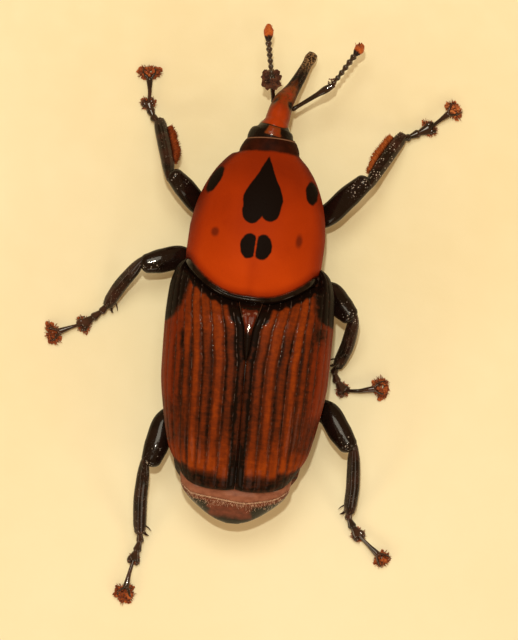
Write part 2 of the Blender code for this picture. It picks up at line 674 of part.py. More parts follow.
for leg, (hip, bend, knee, ankle, toe1, toe2, pad, claw_root, claw_end, wide) in LEGS.items():
    trunk = prothorax if leg.startswith("front") else thorax
    mirror = -1 if leg.endswith("left") else 1
    coxa = solid("leg_%s_coxa" % leg, ball_rings(hip, COXA_RADII, 12, 6), BLACK)
    way = -mirror if leg.startswith("front") else mirror
    inner = (Vector(ankle) - Vector(knee)).cross(UP).normalized() * way
    lobe = Vector(knee) + inner * KNEE_LOBE
    hip_low = (hip[0] + 0.45 * (bend[0] - hip[0]) / abs(bend[0] - hip[0]), hip[1], hip[2] - 0.45)
    path = [(*hip_low, 0.95, 0.95), (*between(hip_low, bend, 0.5), wide * 0.80, 1.05),
            (*bend, wide, 1.22), (*between(bend, lobe, 0.55, 0.05), wide, 1.25), (*lobe, wide * 0.80, 1.10)]
    femur = solid("leg_%s_femur" % leg, limb_rings(path, 10, 8), BLACK)
    carve(femur, solid("cut", ball_rings(hip, COXA_RADII, 12, 6, GAP), BLACK))
    cutters = [solid("cut", ball_rings(hip, COXA_RADII, 12, 6, GAP), BLACK),
               solid("cut", limb_rings(path, 10, 8, GAP), BLACK)]
    if leg.startswith("hind"):
        carve(abdomen, solid("cut", ball_rings(hip, COXA_RADII, 12, 6, GAP), BLACK),
              solid("cut", limb_rings(path, 10, 8, GAP), BLACK))
    carve(trunk, *cutters)

    bow = TIBIA_BOW[leg.split("_")[0]] * mirror
    shin = []
    for share, out, rise, width, depth in ((0.0, 0.0, 0.0, 0.78, 0.85), (0.25, 0.8, 0.10, 0.94, 0.80),
                                           (0.6, 1.0, 0.10, 1.00, 0.78), (0.9, 0.3, 0.02, 0.96, 0.86),
                                           (1.0, 0.0, 0.0, 0.84, 0.80)):
        x, y, z = between(knee, ankle, share, rise)
        shin.append((x + bow * out, y, z, TIBIA_WIDTH * width, depth))
    tibia = solid("leg_%s_tibia" % leg, limb_rings(shin, 10, 7), BLACK)
    toes = [(*ankle, 0.46, 0.44), (*between(ankle, toe1, 0.6), 0.50, 0.50), (*toe1, 0.60, 0.56),
            (*between(toe1, toe2, 0.4), 0.46, 0.46), (*toe2, 0.70, 0.60), (*between(toe2, pad, 0.45), 0.60, 0.56),
            (*pad, 1.05, 0.66), (*between(pad, claw_root, 0.6), 0.80, 0.56), (*claw_root, 0.40, 0.42),
            (*between(claw_root, claw_end, 0.5, 0.06), 0.40, 0.40), (*claw_end, 0.52, 0.46)]
    tarsus = solid("leg_%s_tarsus" % leg, limb_rings(toes, 8, 13), BLACK)
    joint(femur, tibia, bend, knee, ankle, GAP)
    joint(tibia, tarsus, knee, ankle, toe1, GAP)
    if leg.startswith("front"):
        fuse(tibia, brush(leg + "_lock", knee, ankle, mirror))
    fuse(tarsus, lumps(leg + "_toe_lump", pad, 0.38, CLUMP_LUMPS, 0.42))

    ahead = (Vector(claw_end) - Vector(claw_root)).normalized()
    across = ahead.cross(UP).normalized()
    far = Vector(claw_end) + ahead * 1.05
    heart = Vector(claw_end) + ahead * 0.70
    base = [(*(Vector(claw_end) - ahead * 0.1), 0.48, 0.44), (*heart, 0.50, 0.44)]
    claws = solid("leg_%s_claws" % leg, limb_rings(base, 6, 2), BLACK)
    crumbs = lumps(leg + "_foot_lump", heart, 0.38, CLUMP_LUMPS, 0.40)
    for way in (-1, 1):
        tip = far + across * 0.50 * way
        crumbs.append(spur("claw", tuple(heart + across * 0.05 * way), (tip.x, tip.y, 0.16), 0.30))
    fuse(claws, crumbs)
    joint(tarsus, claws, claw_root, claw_end, far, FINE_GAP)
    for piece in (tarsus, claws):
        trim(piece, (0.0, 0.0, 0.0), (0.0, 0.0, -1.0))

faces = sum(len(piece.data.polygons) for piece in bpy.data.objects if piece.type == "MESH")
print("red palm weevil:", len([o for o in bpy.data.objects if o.type == "MESH"]), "pieces,", faces, "faces")
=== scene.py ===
# %% [markdown]
# # A red palm weevil at life size
#
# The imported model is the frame: every node is already at its real size and place, in metres. This
# lesson dresses it. A beetle has no soft skin to stretch over it, so each hard plate is made again as
# a dense mesh, laid along the same named sizes as the solids, and its colours are worked out from the
# distance of each point to the marks, grooves and rims. Nothing is read but the frame.

import math
import random
from collections import namedtuple

import bmesh
import bpy
import numpy as np
from mathutils import Matrix, Vector


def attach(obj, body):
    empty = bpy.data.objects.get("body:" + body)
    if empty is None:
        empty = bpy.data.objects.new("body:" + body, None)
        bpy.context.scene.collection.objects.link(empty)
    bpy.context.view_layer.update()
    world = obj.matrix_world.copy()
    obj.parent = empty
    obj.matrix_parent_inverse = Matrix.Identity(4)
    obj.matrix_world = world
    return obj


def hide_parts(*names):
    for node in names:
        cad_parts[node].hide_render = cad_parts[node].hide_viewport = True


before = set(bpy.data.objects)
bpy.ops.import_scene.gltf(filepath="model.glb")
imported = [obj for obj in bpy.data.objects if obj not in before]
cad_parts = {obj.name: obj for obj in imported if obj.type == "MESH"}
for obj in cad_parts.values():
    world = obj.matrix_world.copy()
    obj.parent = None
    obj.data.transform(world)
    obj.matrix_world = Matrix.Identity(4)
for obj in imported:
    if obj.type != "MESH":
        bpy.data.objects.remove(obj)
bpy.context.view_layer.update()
print("nodes in the frame:", len(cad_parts))

# %% [markdown]
# ## The sizes that the dress shares with the solids
#
# All are in millimetres. The body is three stretches, each with its own axis, because the animal bends
# to its right. A stretch is a list of stations, and a smooth curve through the stations gives the size
# at any place between them.

# %% The three stretches of the body
MM = 0.001
UP = Vector((0.0, 0.0, 1.0))
SIDES = {"left": -1, "right": 1}


def stretch(place, turn):
    """The axis of one stretch: +y runs to the head, and turn is clockwise in degrees."""
    return Matrix.Translation((*place, 0.0)) @ Matrix.Rotation(-math.radians(turn), 4, "Z")


HIND_AXIS = stretch((-0.30, 0.33), 5.0)
SHIELD_AXIS = stretch((0.09, 4.93), 8.3)
HEAD_AXIS = stretch((1.20, 12.78), 18.0)

# Distance along the axis, half width, height of the widest line, top, bottom
HIND_BODY = (
    (-13.20, 3.85, 4.90, 7.45, 2.45),
    (-12.40, 4.36, 5.10, 7.95, 2.30),
    (-11.35, 4.78, 5.25, 8.55, 2.15),
    (-8.40, 5.56, 5.45, 9.40, 1.95),
    (-4.80, 6.09, 5.55, 9.80, 1.90),
    (-1.10, 6.15, 5.55, 9.85, 1.95),
    (1.20, 6.02, 5.50, 9.00, 2.05),
    (2.60, 5.66, 5.40, 8.60, 2.30),
    (3.10, 5.28, 5.35, 8.30, 2.60),
    (3.46, 4.74, 5.30, 8.00, 2.90),
)
# The same columns; the solids end 0.3 mm short of the covers behind, and the rim fills that gap here
SHIELD = (
    (-4.15, 4.24, 5.50, 8.92, 2.62),
    (-3.00, 4.62, 5.50, 9.30, 2.35),
    (-2.00, 4.86, 5.50, 9.50, 2.30),
    (-0.70, 4.97, 5.50, 9.60, 2.25),
    (0.70, 4.97, 5.50, 9.60, 2.25),
    (2.20, 4.80, 5.50, 9.40, 2.30),
    (3.70, 4.41, 5.45, 9.00, 2.45),
    (5.10, 3.78, 5.40, 8.40, 2.70),
    (6.20, 3.00, 5.30, 7.75, 3.00),
    (6.80, 2.36, 5.25, 7.32, 3.25),
    (6.94, 2.20, 5.25, 7.20, 3.38),
    (7.06, 2.19, 5.25, 7.22, 3.34),
    (7.70, 1.92, 5.25, 7.12, 3.45),
    (7.94, 1.70, 5.25, 6.95, 3.60),
)
FLAT_TOP = 2.5       # squareness of the wing covers' cross-section; 2 is an ellipse
SHIELD_TOP = 2.2
ROUND_BELLY = 1.9
for title, stations in (("hind body", HIND_BODY), ("shield", SHIELD)):
    print("%s: %.1f mm long" % (title, stations[-1][0] - stations[0][0]))


# %% A smooth curve through stations
def sizes_at(stations, t):
    """The sizes at distance t, on a smooth curve through the stations that doesn't overshoot them."""
    if t <= stations[0][0]:
        return list(stations[0][1:])
    if t >= stations[-1][0]:
        return list(stations[-1][1:])
    last = len(stations) - 1
    i = max(k for k in range(last) if stations[k][0] <= t)
    here, there = stations[i], stations[i + 1]
    step = there[0] - here[0]
    share = (t - here[0]) / step

    def secant(k, column):
        return (stations[k + 1][column] - stations[k][column]) / (stations[k + 1][0] - stations[k][0])

    def slope(k, column):
        if k in (0, last):
            return secant(min(k, last - 1), column)
        before, after = secant(k - 1, column), secant(k, column)
        return 0.0 if before * after <= 0 else 2 * before * after / (before + after)

    values = []
    for column in range(1, len(here)):
        a, b = here[column], there[column]
        m, n = slope(i, column) * step, slope(i + 1, column) * step
        cube, square = share ** 3, share ** 2
        values.append(a * (2 * cube - 3 * square + 1) + m * (cube - 2 * square + share)
                      + b * (3 * square - 2 * cube) + n * (cube - square))
    return values


def step_up(low, high, value):
    """0 below low, 1 above high, and a soft step between; low may be the larger one."""
    share = min(max((value - low) / (high - low), 0.0), 1.0)
    return share * share * (3 - 2 * share)


def hill(value, middle, width):
    return math.exp(-((value - middle) / width) ** 2)


def signed_power(value, power):
    return math.copysign(abs(value) ** power, value)


def evenly(start, end, steps):
    """Values from start to end with equal steps."""
    return [start + (end - start) * k / steps for k in range(steps + 1)]


def full_turn(count):
    """Angles evenly round a full turn, in radians."""
    return [2 * math.pi * j / count for j in range(count)]


# %% [markdown]
# ## One way to lay a plate
#
# Every plate and limb is a stack of rings, each with the same number of points, joined ring to ring
# and closed by a fan at both ends. A subdivided box could be pushed into these shapes by hand, but a
# stack of rings follows the measured stations exactly and can be made as dense as a groove needs.
# Each point may also carry numbers, such as its distance to the nearest dark mark. The material reads
# them, so a mark keeps a crisp edge with no image.

# %% Rings to closed meshes
def note(tags, **numbers):
    """Adds a point's numbers to the lists of their names."""
    for key, value in numbers.items():
        tags.setdefault(key, []).append(value)


def shell(rings, tags=None, axis=None):
    """Points, faces and numbers of a closed skin through rings of points in mm."""
    count = len(rings[0])
    points = [point for ring in rings for point in ring]
    tags = {key: list(values) for key, values in (tags or {}).items()}
    faces = []
    for k in range(len(rings) - 1):
        for j in range(count):
            a, b = k * count + j, k * count + (j + 1) % count
            faces.append((a, b, b + count, a + count))
    for start in (0, (len(rings) - 1) * count):
        pole = len(points)
        points.append(sum(points[start:start + count], Vector()) / count)
        for values in tags.values():
            values.append(sum(values[start:start + count]) / count)
        for j in range(count):
            faces.append((start + j, start + (j + 1) % count, pole))
    if axis:
        points = [axis @ point for point in points]
    return points, faces, tags


def keep_numbers(mesh, tags):
    """Keeps a number for every point of the mesh under each name."""
    for key, values in tags.items():
        values = values + [0.0] * (len(mesh.vertices) - len(values))
        mesh.attributes.new(key, "FLOAT", "POINT").data.foreach_set("value", values)


def add_piece(name, mesh, finish):
    """Puts a mesh in the scene as a smooth piece that rides on the body, in a material slot."""
    mesh.shade_smooth()
    mesh.materials.append(finish)
    piece = bpy.data.objects.new(name, mesh)
    bpy.context.scene.collection.objects.link(piece)
    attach(piece, "root")
    return piece


def build_piece(name, shells, finish, slot, *nodes):
    """One piece of closed skins in place of CAD nodes."""
    points, faces, tags = [], [], {}
    for new_points, new_faces, new_tags in shells:
        faces += [tuple(i + len(points) for i in face) for face in new_faces]
        for key, values in new_tags.items():
            tags.setdefault(key, []).extend([0.0] * (len(points) - len(tags.get(key, []))) + values)
        points += new_points
    mesh = bpy.data.meshes.new(name)
    mesh.from_pydata([point * MM for point in points], [], faces)
    bm = bmesh.new()
    bm.from_mesh(mesh)
    bmesh.ops.recalc_face_normals(bm, faces=bm.faces)
    bm.to_mesh(mesh)
    bm.free()
    keep_numbers(mesh, tags)
    piece = add_piece(name, mesh, finish)
    if nodes:
        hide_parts(*nodes)
    print(name, len(mesh.polygons), "faces")


# %% [markdown]
# ## Helpers for the finishes
#
# Beetle shell is chitin: a hard skin whose colour lies under a thin clear layer. A shader with one
# colour would look like plastic, so every finish here mixes its colours from the points' numbers and
# from noise, and bends the light with a fine bump of pits and wrinkles. These helpers keep each
# node tree short enough to read.

# %% Node helpers
def wire(tree, socket, value):
    """Links an output to the socket, or sets the socket's own value."""
    if isinstance(value, bpy.types.NodeSocket):
        tree.links.new(value, socket)
    else:
        socket.default_value = value


def new_finish(name, specular=0.5, coat=0.0, coat_roughness=0.1, sheen=0.0, coat_bend=1.5):
    """A material and its node tree, with the values that are the same all over set on its shader.

    A thin coat that bends light strongly shines in the middle and stays dark at the edges.
    """
    material = bpy.data.materials.new(name)
    material.use_nodes = True
    shader = material.node_tree.nodes["Principled BSDF"]
    shader.inputs["Specular IOR Level"].default_value = specular
    shader.inputs["Coat Weight"].default_value = coat
    shader.inputs["Coat Roughness"].default_value = coat_roughness
    shader.inputs["Coat IOR"].default_value = coat_bend
    shader.inputs["Sheen Weight"].default_value = sheen
    return material, material.node_tree


def dress(material, colour, roughness, normal):
    """Links the three things that vary over every surface."""
    tree = material.node_tree
    shader = tree.nodes["Principled BSDF"]
    tree.links.new(colour, shader.inputs["Base Color"])
    tree.links.new(roughness, shader.inputs["Roughness"])
    tree.links.new(normal, shader.inputs["Normal"])
    return material


def number(tree, name):
    """The number of that name on the mesh's points."""
    node = tree.nodes.new("ShaderNodeAttribute")
    node.attribute_name = name
    return node.outputs["Fac"]


def calc(tree, operation, a, b=0.0):
    node = tree.nodes.new("ShaderNodeMath")
    node.operation = operation
    wire(tree, node.inputs[0], a)
    wire(tree, node.inputs[1], b)
    return node.outputs[0]


def times(tree, a, b):
    return calc(tree, "MULTIPLY", a, b)


def plus(tree, a, b):
    return calc(tree, "ADD", a, b)


def largest(tree, first, *others):
    """The largest of some outputs or numbers."""
    for other in others:
        first = calc(tree, "MAXIMUM", first, other)
    return first


def swing(tree, noise, amount):
    """The noise less its mean of a half, times amount: it swings to both sides of zero."""
    return times(tree, calc(tree, "SUBTRACT", noise, 0.5), amount)


def spread(tree, value, low, high, new_low=0.0, new_high=1.0):
    """Carries low..high over to new_low..new_high with a soft step."""
    node = tree.nodes.new("ShaderNodeMapRange")
    node.interpolation_type = "SMOOTHSTEP"
    for k, given in enumerate((value, low, high, new_low, new_high)):
        wire(tree, node.inputs[k], given)
    return node.outputs[0]


def ragged_edge(tree, name, ragged, low, high, new_low=0.0, new_high=1.0):
    """Spreads a number of the points over low..high, after noise has made its edge ragged."""
    return spread(tree, plus(tree, number(tree, name), ragged), low, high, new_low, new_high)


def place_of(tree):
    """The point's own place on the object, in metres."""
    return tree.nodes.new("ShaderNodeTexCoord").outputs["Object"]


def speckle(tree, per_mm, detail=3.0, distortion=0.0, place=None):
    """Noise with so many waves in a millimetre."""
    node = tree.nodes.new("ShaderNodeTexNoise")
    wire(tree, node.inputs["Vector"], place or place_of(tree))
    node.inputs["Scale"].default_value = per_mm / MM
    node.inputs["Detail"].default_value = detail
    node.inputs["Distortion"].default_value = distortion
    return node.outputs["Fac"]


def uneven(tree, per_mm, low, high):
    """A roughness that wavers softly between two values."""
    return spread(tree, speckle(tree, per_mm), 0.3, 0.7, low, high)


def pits(tree, per_mm, size=0.35):
    """Small round pits, 0 in each pit and 1 between them."""
    node = tree.nodes.new("ShaderNodeTexVoronoi")
    wire(tree, node.inputs["Vector"], place_of(tree))
    node.inputs["Scale"].default_value = per_mm / MM
    return spread(tree, node.outputs["Distance"], 0.0, size)


def blend(tree, share, a, b):
    node = tree.nodes.new("ShaderNodeMix")
    node.data_type = "RGBA"
    for k, value in ((0, share), (6, a), (7, b)):
        wire(tree, node.inputs[k], value)
    return node.outputs[2]


def paint(tree, share, under, tint):
    """Lays one even colour over what is under it, where share is 1."""
    return blend(tree, share, under, (*tint, 1.0))


def shades(tree, value, *stops):
    """A ramp of (place, (red, green, blue)) stops."""
    ramp = tree.nodes.new("ShaderNodeValToRGB")
    wire(tree, ramp.inputs[0], value)
    marks = ramp.color_ramp.elements
    while len(marks) < len(stops):
        marks.new(0.5)
    for mark, (place, colour) in zip(marks, stops):
        mark.position = place
        mark.color = (*colour, 1.0)
    return ramp.outputs[0]


def two_tones(tree, per_mm, deep, light, detail=3.0, light_from=0.7):
    """Noise between a deep and a light tone of a colour."""
    return shades(tree, speckle(tree, per_mm, detail), (0.3, deep), (light_from, light))


def relief(tree, height, depth_mm, under=None):
    """A bump whose full height stands for so many millimetres."""
    node = tree.nodes.new("ShaderNodeBump")
    node.inputs["Distance"].default_value = depth_mm * MM
    wire(tree, node.inputs["Height"], height)
    if under:
        wire(tree, node.inputs["Normal"], under)
    return node.outputs[0]


# %% [markdown]
# ## The shield
#
# The big orange plate behind the head is the pronotum. It is a smooth dome with a narrow black rim
# along its rear margin and a collar in front, and its pattern names the species: a long dark heart on
# the middle line, a pair of small round spots behind it, and one spot at each front side. The dome
# is the same stack of rings as the solid, with far more points, and the rim is raised on it. Each
# point keeps its signed distance to the nearest mark, positive inside.

# %% The shield's marks
# Middle of the mark along and across the shield, then half its length and half its width
TWIN_SPOTS = ((-0.05, -0.46, 0.91, 0.66), (-0.02, 0.50, 0.92, 0.68))
HEART_LOBES = ((2.45, -0.60, 0.87, 0.73), (2.66, 0.70, 0.79, 0.69))
SIDE_SPOTS = ((4.40, -3.62, 1.02, 0.40), (4.38, 3.49, 0.84, 0.45))
FAINT_SPOTS = ((0.61, -3.05, 0.30, 0.24), (0.80, 3.05, 0.40, 0.20))
SIDE_SLANTS = (-0.36, 0.12)       # the side spots lean with the shield's outline
TWIN_PARTING = 0.07       # half of the orange line between the twin spots
TWIN_MIDDLE = 0.02
HEART_MIDDLE = 0.05
# Distance along the shield and the heart's half width there
HEART = ((2.20, 1.20), (2.90, 1.38), (3.40, 1.43), (4.35, 1.12), (4.90, 0.80), (5.80, 0.38), (6.64, 0.0))


def in_oval(s, t, mark, slant=0.0):
    """How far inside an oval mark the point lies, in mm, and negative outside."""
    middle_s, middle_t, long, wide = mark
    ds = s - middle_s
    dt = t - middle_t + slant * ds
    return (1 - math.hypot(ds / long, dt / wide)) * min(long, wide)


def in_heart(s, t):
    across = abs(t - HEART_MIDDLE)
    wedge = min(sizes_at(HEART, s)[0] - across, s - HEART[0][0], HEART[-1][0] - s)
    return max(wedge, *(in_oval(s, t, lobe) for lobe in HEART_LOBES))


def mark_depth(s, t):
    """How far inside the nearest dark mark of the shield a point lies."""
    twins = min(max(in_oval(s, t, mark) for mark in TWIN_SPOTS), abs(t - TWIN_MIDDLE) - TWIN_PARTING)
    sides = max(in_oval(s, t, mark, slant) for mark, slant in zip(SIDE_SPOTS, SIDE_SLANTS))
    return max(in_heart(s, t), twins, sides)


print("middle of the heart is %.2f mm inside it" % mark_depth(3.4, 0.0))

# %% The shield's margins
MARGIN_SIDE = -2.05       # how far back the shield reaches at its sides, and below
MARGIN_BELLY = -0.80
MARGIN_ARC = 2.6
MARGIN_START = 1.0        # ahead of this the rings stand upright
LEDGE_LOW = 6.6           # the covers meet the shield's side no lower than this
ARC_HALF = 240
arc = np.linspace(0.0, math.pi, 2 * ARC_HALF + 1)


def rear_margin(angle):
    """How far back the shield reaches at an angle round it: furthest on the middle of the back."""
    back = SHIELD[0][0]
    if math.sin(angle) >= 0:
        return back + (MARGIN_SIDE - back) * abs(math.cos(angle)) ** MARGIN_ARC
    return MARGIN_SIDE + (MARGIN_BELLY - MARGIN_SIDE) * abs(math.sin(angle))


def shield_skin(y, angle):
    """Place across and height of the shield's skin at y and an angle round it."""
    half, side, top, bottom = sizes_at(SHIELD, y)
    above = math.sin(angle) >= 0
    power = 2 / (SHIELD_TOP if above else ROUND_BELLY)
    reach = top - side if above else side - bottom
    return half * signed_power(math.cos(angle), power), side + reach * signed_power(math.sin(angle), power)


margin_s = np.array([rear_margin(angle) for angle in arc])
margin_t, margin_z = np.array([shield_skin(y, angle) for y, angle in zip(margin_s, arc)]).T
side_s = np.linspace(MARGIN_SIDE, 2.4, 60)
side_t = np.array([sizes_at(SHIELD, y)[0] for y in side_s])
outline_s = np.concatenate([margin_s, side_s, side_s])
outline_t = np.concatenate([margin_t, side_t, -side_t])
outline_z = np.maximum(np.concatenate([margin_z, np.zeros(120)]), LEDGE_LOW)


def from_margin(s, t):
    """Distance on the floor plan to the shield's rear margin."""
    return float(np.hypot(margin_s - s, margin_t - t).min())


def under_shield(s, t):
    """How far inside the shield's outline a place lies, negative outside, and the outline's height there."""
    gaps = np.hypot(outline_s - s, outline_t - t)
    nearest = int(gaps.argmin())
    margin = np.interp(abs(t), margin_t[ARC_HALF::-1], margin_s[ARC_HALF::-1])
    inside = s > margin and abs(t) < sizes_at(SHIELD, s)[0]
    return float(gaps[nearest]) * (1 if inside else -1), float(outline_z[nearest])


print("the shield's rear margin runs from %.2f to %.2f mm" % (margin_s.min(), margin_s.max()))

# %% The rings of the shield
RIM_WIDTH = 0.46
RIM_RISE = 0.11
COLLAR_BOW = 0.12
COLLAR_TILT = 0.055
RIM_SEARCH = 1.8          # ahead of this no point is near the rim
FAR_INSIDE = 3.0
SHIELD_COUNT = 260
SHIELD_STEPS = 170
# The brightness of the orange, then what it gains or loses by its place; the losses at the sides are painted
# shade
PLAIN_TONE = 0.52
REAR_GAIN = 0.30
FRONT_LOSS = 0.22
RIGHT_PAINTED_SHADE = 0.28
LEFT_PAINTED_SHADE = 0.46
RIM_LOSS = 0.45
MIDDLE_LOSS = 0.12


def shield_tone(x, y, half, inward):
    """How bright the orange is: less so in front, at the sides as painted shade, by the rim and on the middle
    line.
    """
    return (PLAIN_TONE + REAR_GAIN * step_up(3.5, -2.5, y) - FRONT_LOSS * step_up(3.0, 7.0, y)
            # The losses at the sides are painted shade where the dome turns away from the light.
            - (RIGHT_PAINTED_SHADE if x > 0 else LEFT_PAINTED_SHADE) * step_up(0.76, 1.0, abs(x) / half)
            - RIM_LOSS * step_up(RIM_WIDTH + 0.75, RIM_WIDTH, inward)
            - MIDDLE_LOSS * hill(x, 0.0, 0.35) * step_up(1.0, -1.2, y))


def shield_rings():
    """Rings that bend towards the tail on the back, with the numbers of every point."""
    rings, tags = [], {}
    back, front = SHIELD[0][0], SHIELD[-1][0]
    for share in evenly(0.0, 1.0, SHIELD_STEPS):
        station = back + (front - back) * (0.7 * share + 0.3 * share ** 2)
        ring = []
        for angle in full_turn(SHIELD_COUNT):
            above = angle < math.pi
            y = station
            if y < MARGIN_START:
                drawn_out = (y - MARGIN_START) * (rear_margin(angle) - MARGIN_START)
                y = MARGIN_START + drawn_out / (back - MARGIN_START)
            half, side, top, bottom = sizes_at(SHIELD, y)
            point = Vector((0.0, y, 0.0))
            point.x, point.z = shield_skin(y, angle)
            inward = from_margin(y, point.x) if above and y < RIM_SEARCH else FAR_INSIDE
            bead = RIM_RISE * hill(inward, 0.20, 0.16) - 0.6 * RIM_RISE * hill(inward, RIM_WIDTH + 0.02, 0.08)
            out = Vector((point.x / half, 0.0, (point.z - side) / max(top - side, 0.1))).normalized()
            point += out * bead
            collar = step_up(6.5, 7.0, station)
            point.y += collar * (COLLAR_TILT * point.x + COLLAR_BOW * (1 - (point.x / 1.7) ** 2))
            low = 1 - (point.z - bottom) / (top - bottom)
            ring.append(point)
            mark = mark_depth(y, point.x) if above else -2.0
            faint = max(in_oval(y, point.x, spot) for spot in FAINT_SPOTS) if above else -1.0
            note(tags, mark=mark, rim=inward, belly=low, tone=shield_tone(point.x, y, half, inward),
                 faint=faint, collar=station)
        rings.append(ring)
    return rings, tags


# %% [markdown]
# The shield's colour is a deep orange red, a little lighter towards the rear. Its marks are nearly
# black with a soft, slightly ragged edge, so noise is added to the distance before it is compared
# with zero. The surface is satin, with shallow pits, and the rim is the glossiest place.

# %% The shield's finish and the shield
BLACK = (0.006, 0.003, 0.002)
ORANGE_EDGE = (0.095, 0.007, 0.001)
ORANGE_DEEP = (0.20, 0.018, 0.002)
ORANGE = (0.33, 0.031, 0.002)
ORANGE_LIGHT = (0.47, 0.052, 0.003)
FAINT_BROWN = (0.10, 0.012, 0.004)
MAROON_DEEP = (0.016, 0.004, 0.002)
MAROON = (0.040, 0.008, 0.003)
PALE_LINE = (0.30, 0.16, 0.10)      # the bare skin between the collar and the head
COLLAR_START = 6.78
COLLAR_LINE = 7.83


def shield_finish():
    material, tree = new_finish("shield_orange", specular=0.03)
    mottle = speckle(tree, 0.35, detail=5.0, distortion=0.4)
    tone = plus(tree, number(tree, "tone"), swing(tree, mottle, 0.38))
    orange = shades(tree, tone, (0.0, ORANGE_EDGE), (0.25, ORANGE_DEEP), (0.55, ORANGE), (0.9, ORANGE_LIGHT))
    ragged = swing(tree, speckle(tree, 2.4, detail=6.0), 0.13)
    mark = ragged_edge(tree, "mark", ragged, -0.06, 0.05)
    rim = ragged_edge(tree, "rim", ragged, RIM_WIDTH + 0.20, RIM_WIDTH - 0.06)
    faint = ragged_edge(tree, "faint", ragged, -0.16, 0.10, 0.0, 0.80)
    belly = ragged_edge(tree, "belly", ragged, 0.66, 0.80, 0.0, 0.94)
    collar = ragged_edge(tree, "collar", ragged, COLLAR_START, COLLAR_START + 0.20)
    line_start = spread(tree, number(tree, "collar"), COLLAR_LINE - 0.03, COLLAR_LINE)
    line_end = spread(tree, number(tree, "collar"), COLLAR_LINE + 0.07, COLLAR_LINE + 0.03, 0.0, 0.75)
    pale = times(tree, line_start, line_end)
    dark = largest(tree, mark, rim, belly)
    colour = paint(tree, faint, orange, FAINT_BROWN)
    colour = paint(tree, dark, colour, BLACK)
    maroon = two_tones(tree, 1.5, MAROON_DEEP, MAROON, detail=4.0)
    colour = blend(tree, collar, colour, maroon)
    colour = paint(tree, pale, colour, PALE_LINE)
    rough = plus(tree, spread(tree, rim, 0.0, 1.0, 0.50, 0.14), times(tree, speckle(tree, 6.0), 0.10))
    dimples = pits(tree, 3.6, size=0.32)
    fine = speckle(tree, 14.0, detail=4.0)
    normal = relief(tree, dimples, 0.010, relief(tree, fine, 0.006))
    polish = times(tree, rim, spread(tree, speckle(tree, 1.4, detail=4.0), 0.40, 0.60, 0.10, 0.50))
    tree.links.new(polish, tree.nodes["Principled BSDF"].inputs["Coat Weight"])
    return dress(material, colour, rough, normal)


rings, tags = shield_rings()
build_piece("shield_plate", [shell(rings, tags, SHIELD_AXIS)], shield_finish(), "pronotum_shell", "prothorax")

# %% [markdown]
# ## The wing covers
#
# The two hard fore wings meet in a straight seam and hide the flying wings. Each has ridges parted by
# rows of pits, the striae, which run parallel to the seam and crowd together at the side. They fan
# out round the small plate at their root, dive under the shield in front and are cut off short behind.
# A bump map alone would leave the outline smooth, so the grooves are real: each cover is a grid of
# points at fixed distances from the seam, measured along the curve of the back.

# %% Where the striae run
COVER_REAR = -13.20
COVER_FRONT = 3.44
COVER_THICK = 0.50
EDGE_DROP = 0.50
SEAM = 0.012
FIRST_STRIA = 0.56
STRIA_STEP = 0.83
STRIAE = 9
GROOVE_DEPTH = 0.085
GROOVE_WIDTH = 0.075
PIT_STEP = 0.36
APEX_LAG = 1.0
FAN_RUN = 6.5          # the striae give way to the root plate, less and less up to here
FAN = 0.22
SCUTELLUM = ((-3.66, 0.05), (-2.90, 0.17), (-1.50, 0.30), (-0.60, 0.56), (0.40, 0.85))
stria_lines = [FIRST_STRIA + STRIA_STEP * k for k in range(STRIAE)]


def cover_curve(y):
    """Run, x and z of the covers' cross-section from the middle of the back over the side edge."""
    half, side, top, _ = sizes_at(HIND_BODY, y)
    angle = np.linspace(math.pi / 2, 0.0, 200)
    x = half * np.cos(angle) ** (2 / FLAT_TOP)
    z = side + (top - side) * np.sin(angle) ** (2 / FLAT_TOP)
    x[0] = 0.0
    hang = np.linspace(0.0, 1.0, 12)[1:]
    x = np.concatenate([x, half - 0.16 * hang ** 2])
    z = np.concatenate([z, side - EDGE_DROP * hang])
    run = np.concatenate([[0.0], np.cumsum(np.hypot(np.diff(x), np.diff(z)))])
    return run, x, z


FULL_RUN = cover_curve(-1.1)[0][-1]
LEDGE_DROP = 0.12       # the covers dive this far under the shield's rear margin
LEDGE_SLOPE = 1.4       # with this slope behind the margin, and a gentler one under the shield
INNER_SLOPE = 0.6
LEDGE_REACH = 2.2       # no point further behind the margin than this is pressed down
LEDGE_SEARCH = -3.5     # and none behind this place along the body is near the margin
FAR_OUTSIDE = 9.0
SOFTNESS = 0.14


def soft_min(a, b):
    """The lower of two heights, with a rounded step where they cross."""
    low, high = min(a, b), max(a, b)
    return low - SOFTNESS * math.log1p(math.exp((low - high) / SOFTNESS))


def inner_edge(y):
    """How far from the middle line the cover begins: it parts round the small root plate."""
    if y <= SCUTELLUM[0][0]:
        return SEAM
    return max(SEAM, sizes_at(SCUTELLUM, y)[0] - 0.02)


def rear_lag(x, y):
    """How far forward a point moves near the tail, so that each cover ends in a rounded corner."""
    late = min(max((-10.2 - y) / 3.0, 0.0), 1.0) ** 1.5
    return late * (APEX_LAG * (abs(x) / 4.2) ** 4 + 0.14 * hill(x, 0.0, 0.45))


print("a cover's run from seam to edge is %.2f mm, %d striae" % (FULL_RUN, STRIAE))

# %% [markdown]
# The covers are orange brown with dark grooves. The even ridges stay dim in the middle of their
# length, and every ridge is brighter near the root and just before the tail, where a black band closes
# the pattern. The shoulders and the seam are black. These rules become one number for each point,
# from 0 for bright to 1 for black, and the material adds streaks along the ridges.

# %% How dark a point of a cover is
# Darkness of each ridge from the seam outwards, for the left and right cover
RIDGE_DARK = {-1: (0.94, 0.34, 0.20, 0.26, 0.20, 0.28, 0.32, 0.30, 0.30, 0.32),
              1: (0.94, 0.28, 0.20, 0.26, 0.18, 0.26, 0.28, 0.22, 0.22, 0.26)}
# How much darker each ridge grows in the middle of its length
MIDDLE_DIM = (-0.16, 0.20, 0.13, 0.26, 0.12, 0.20, 0.18, 0.12, 0.08, 0.0)
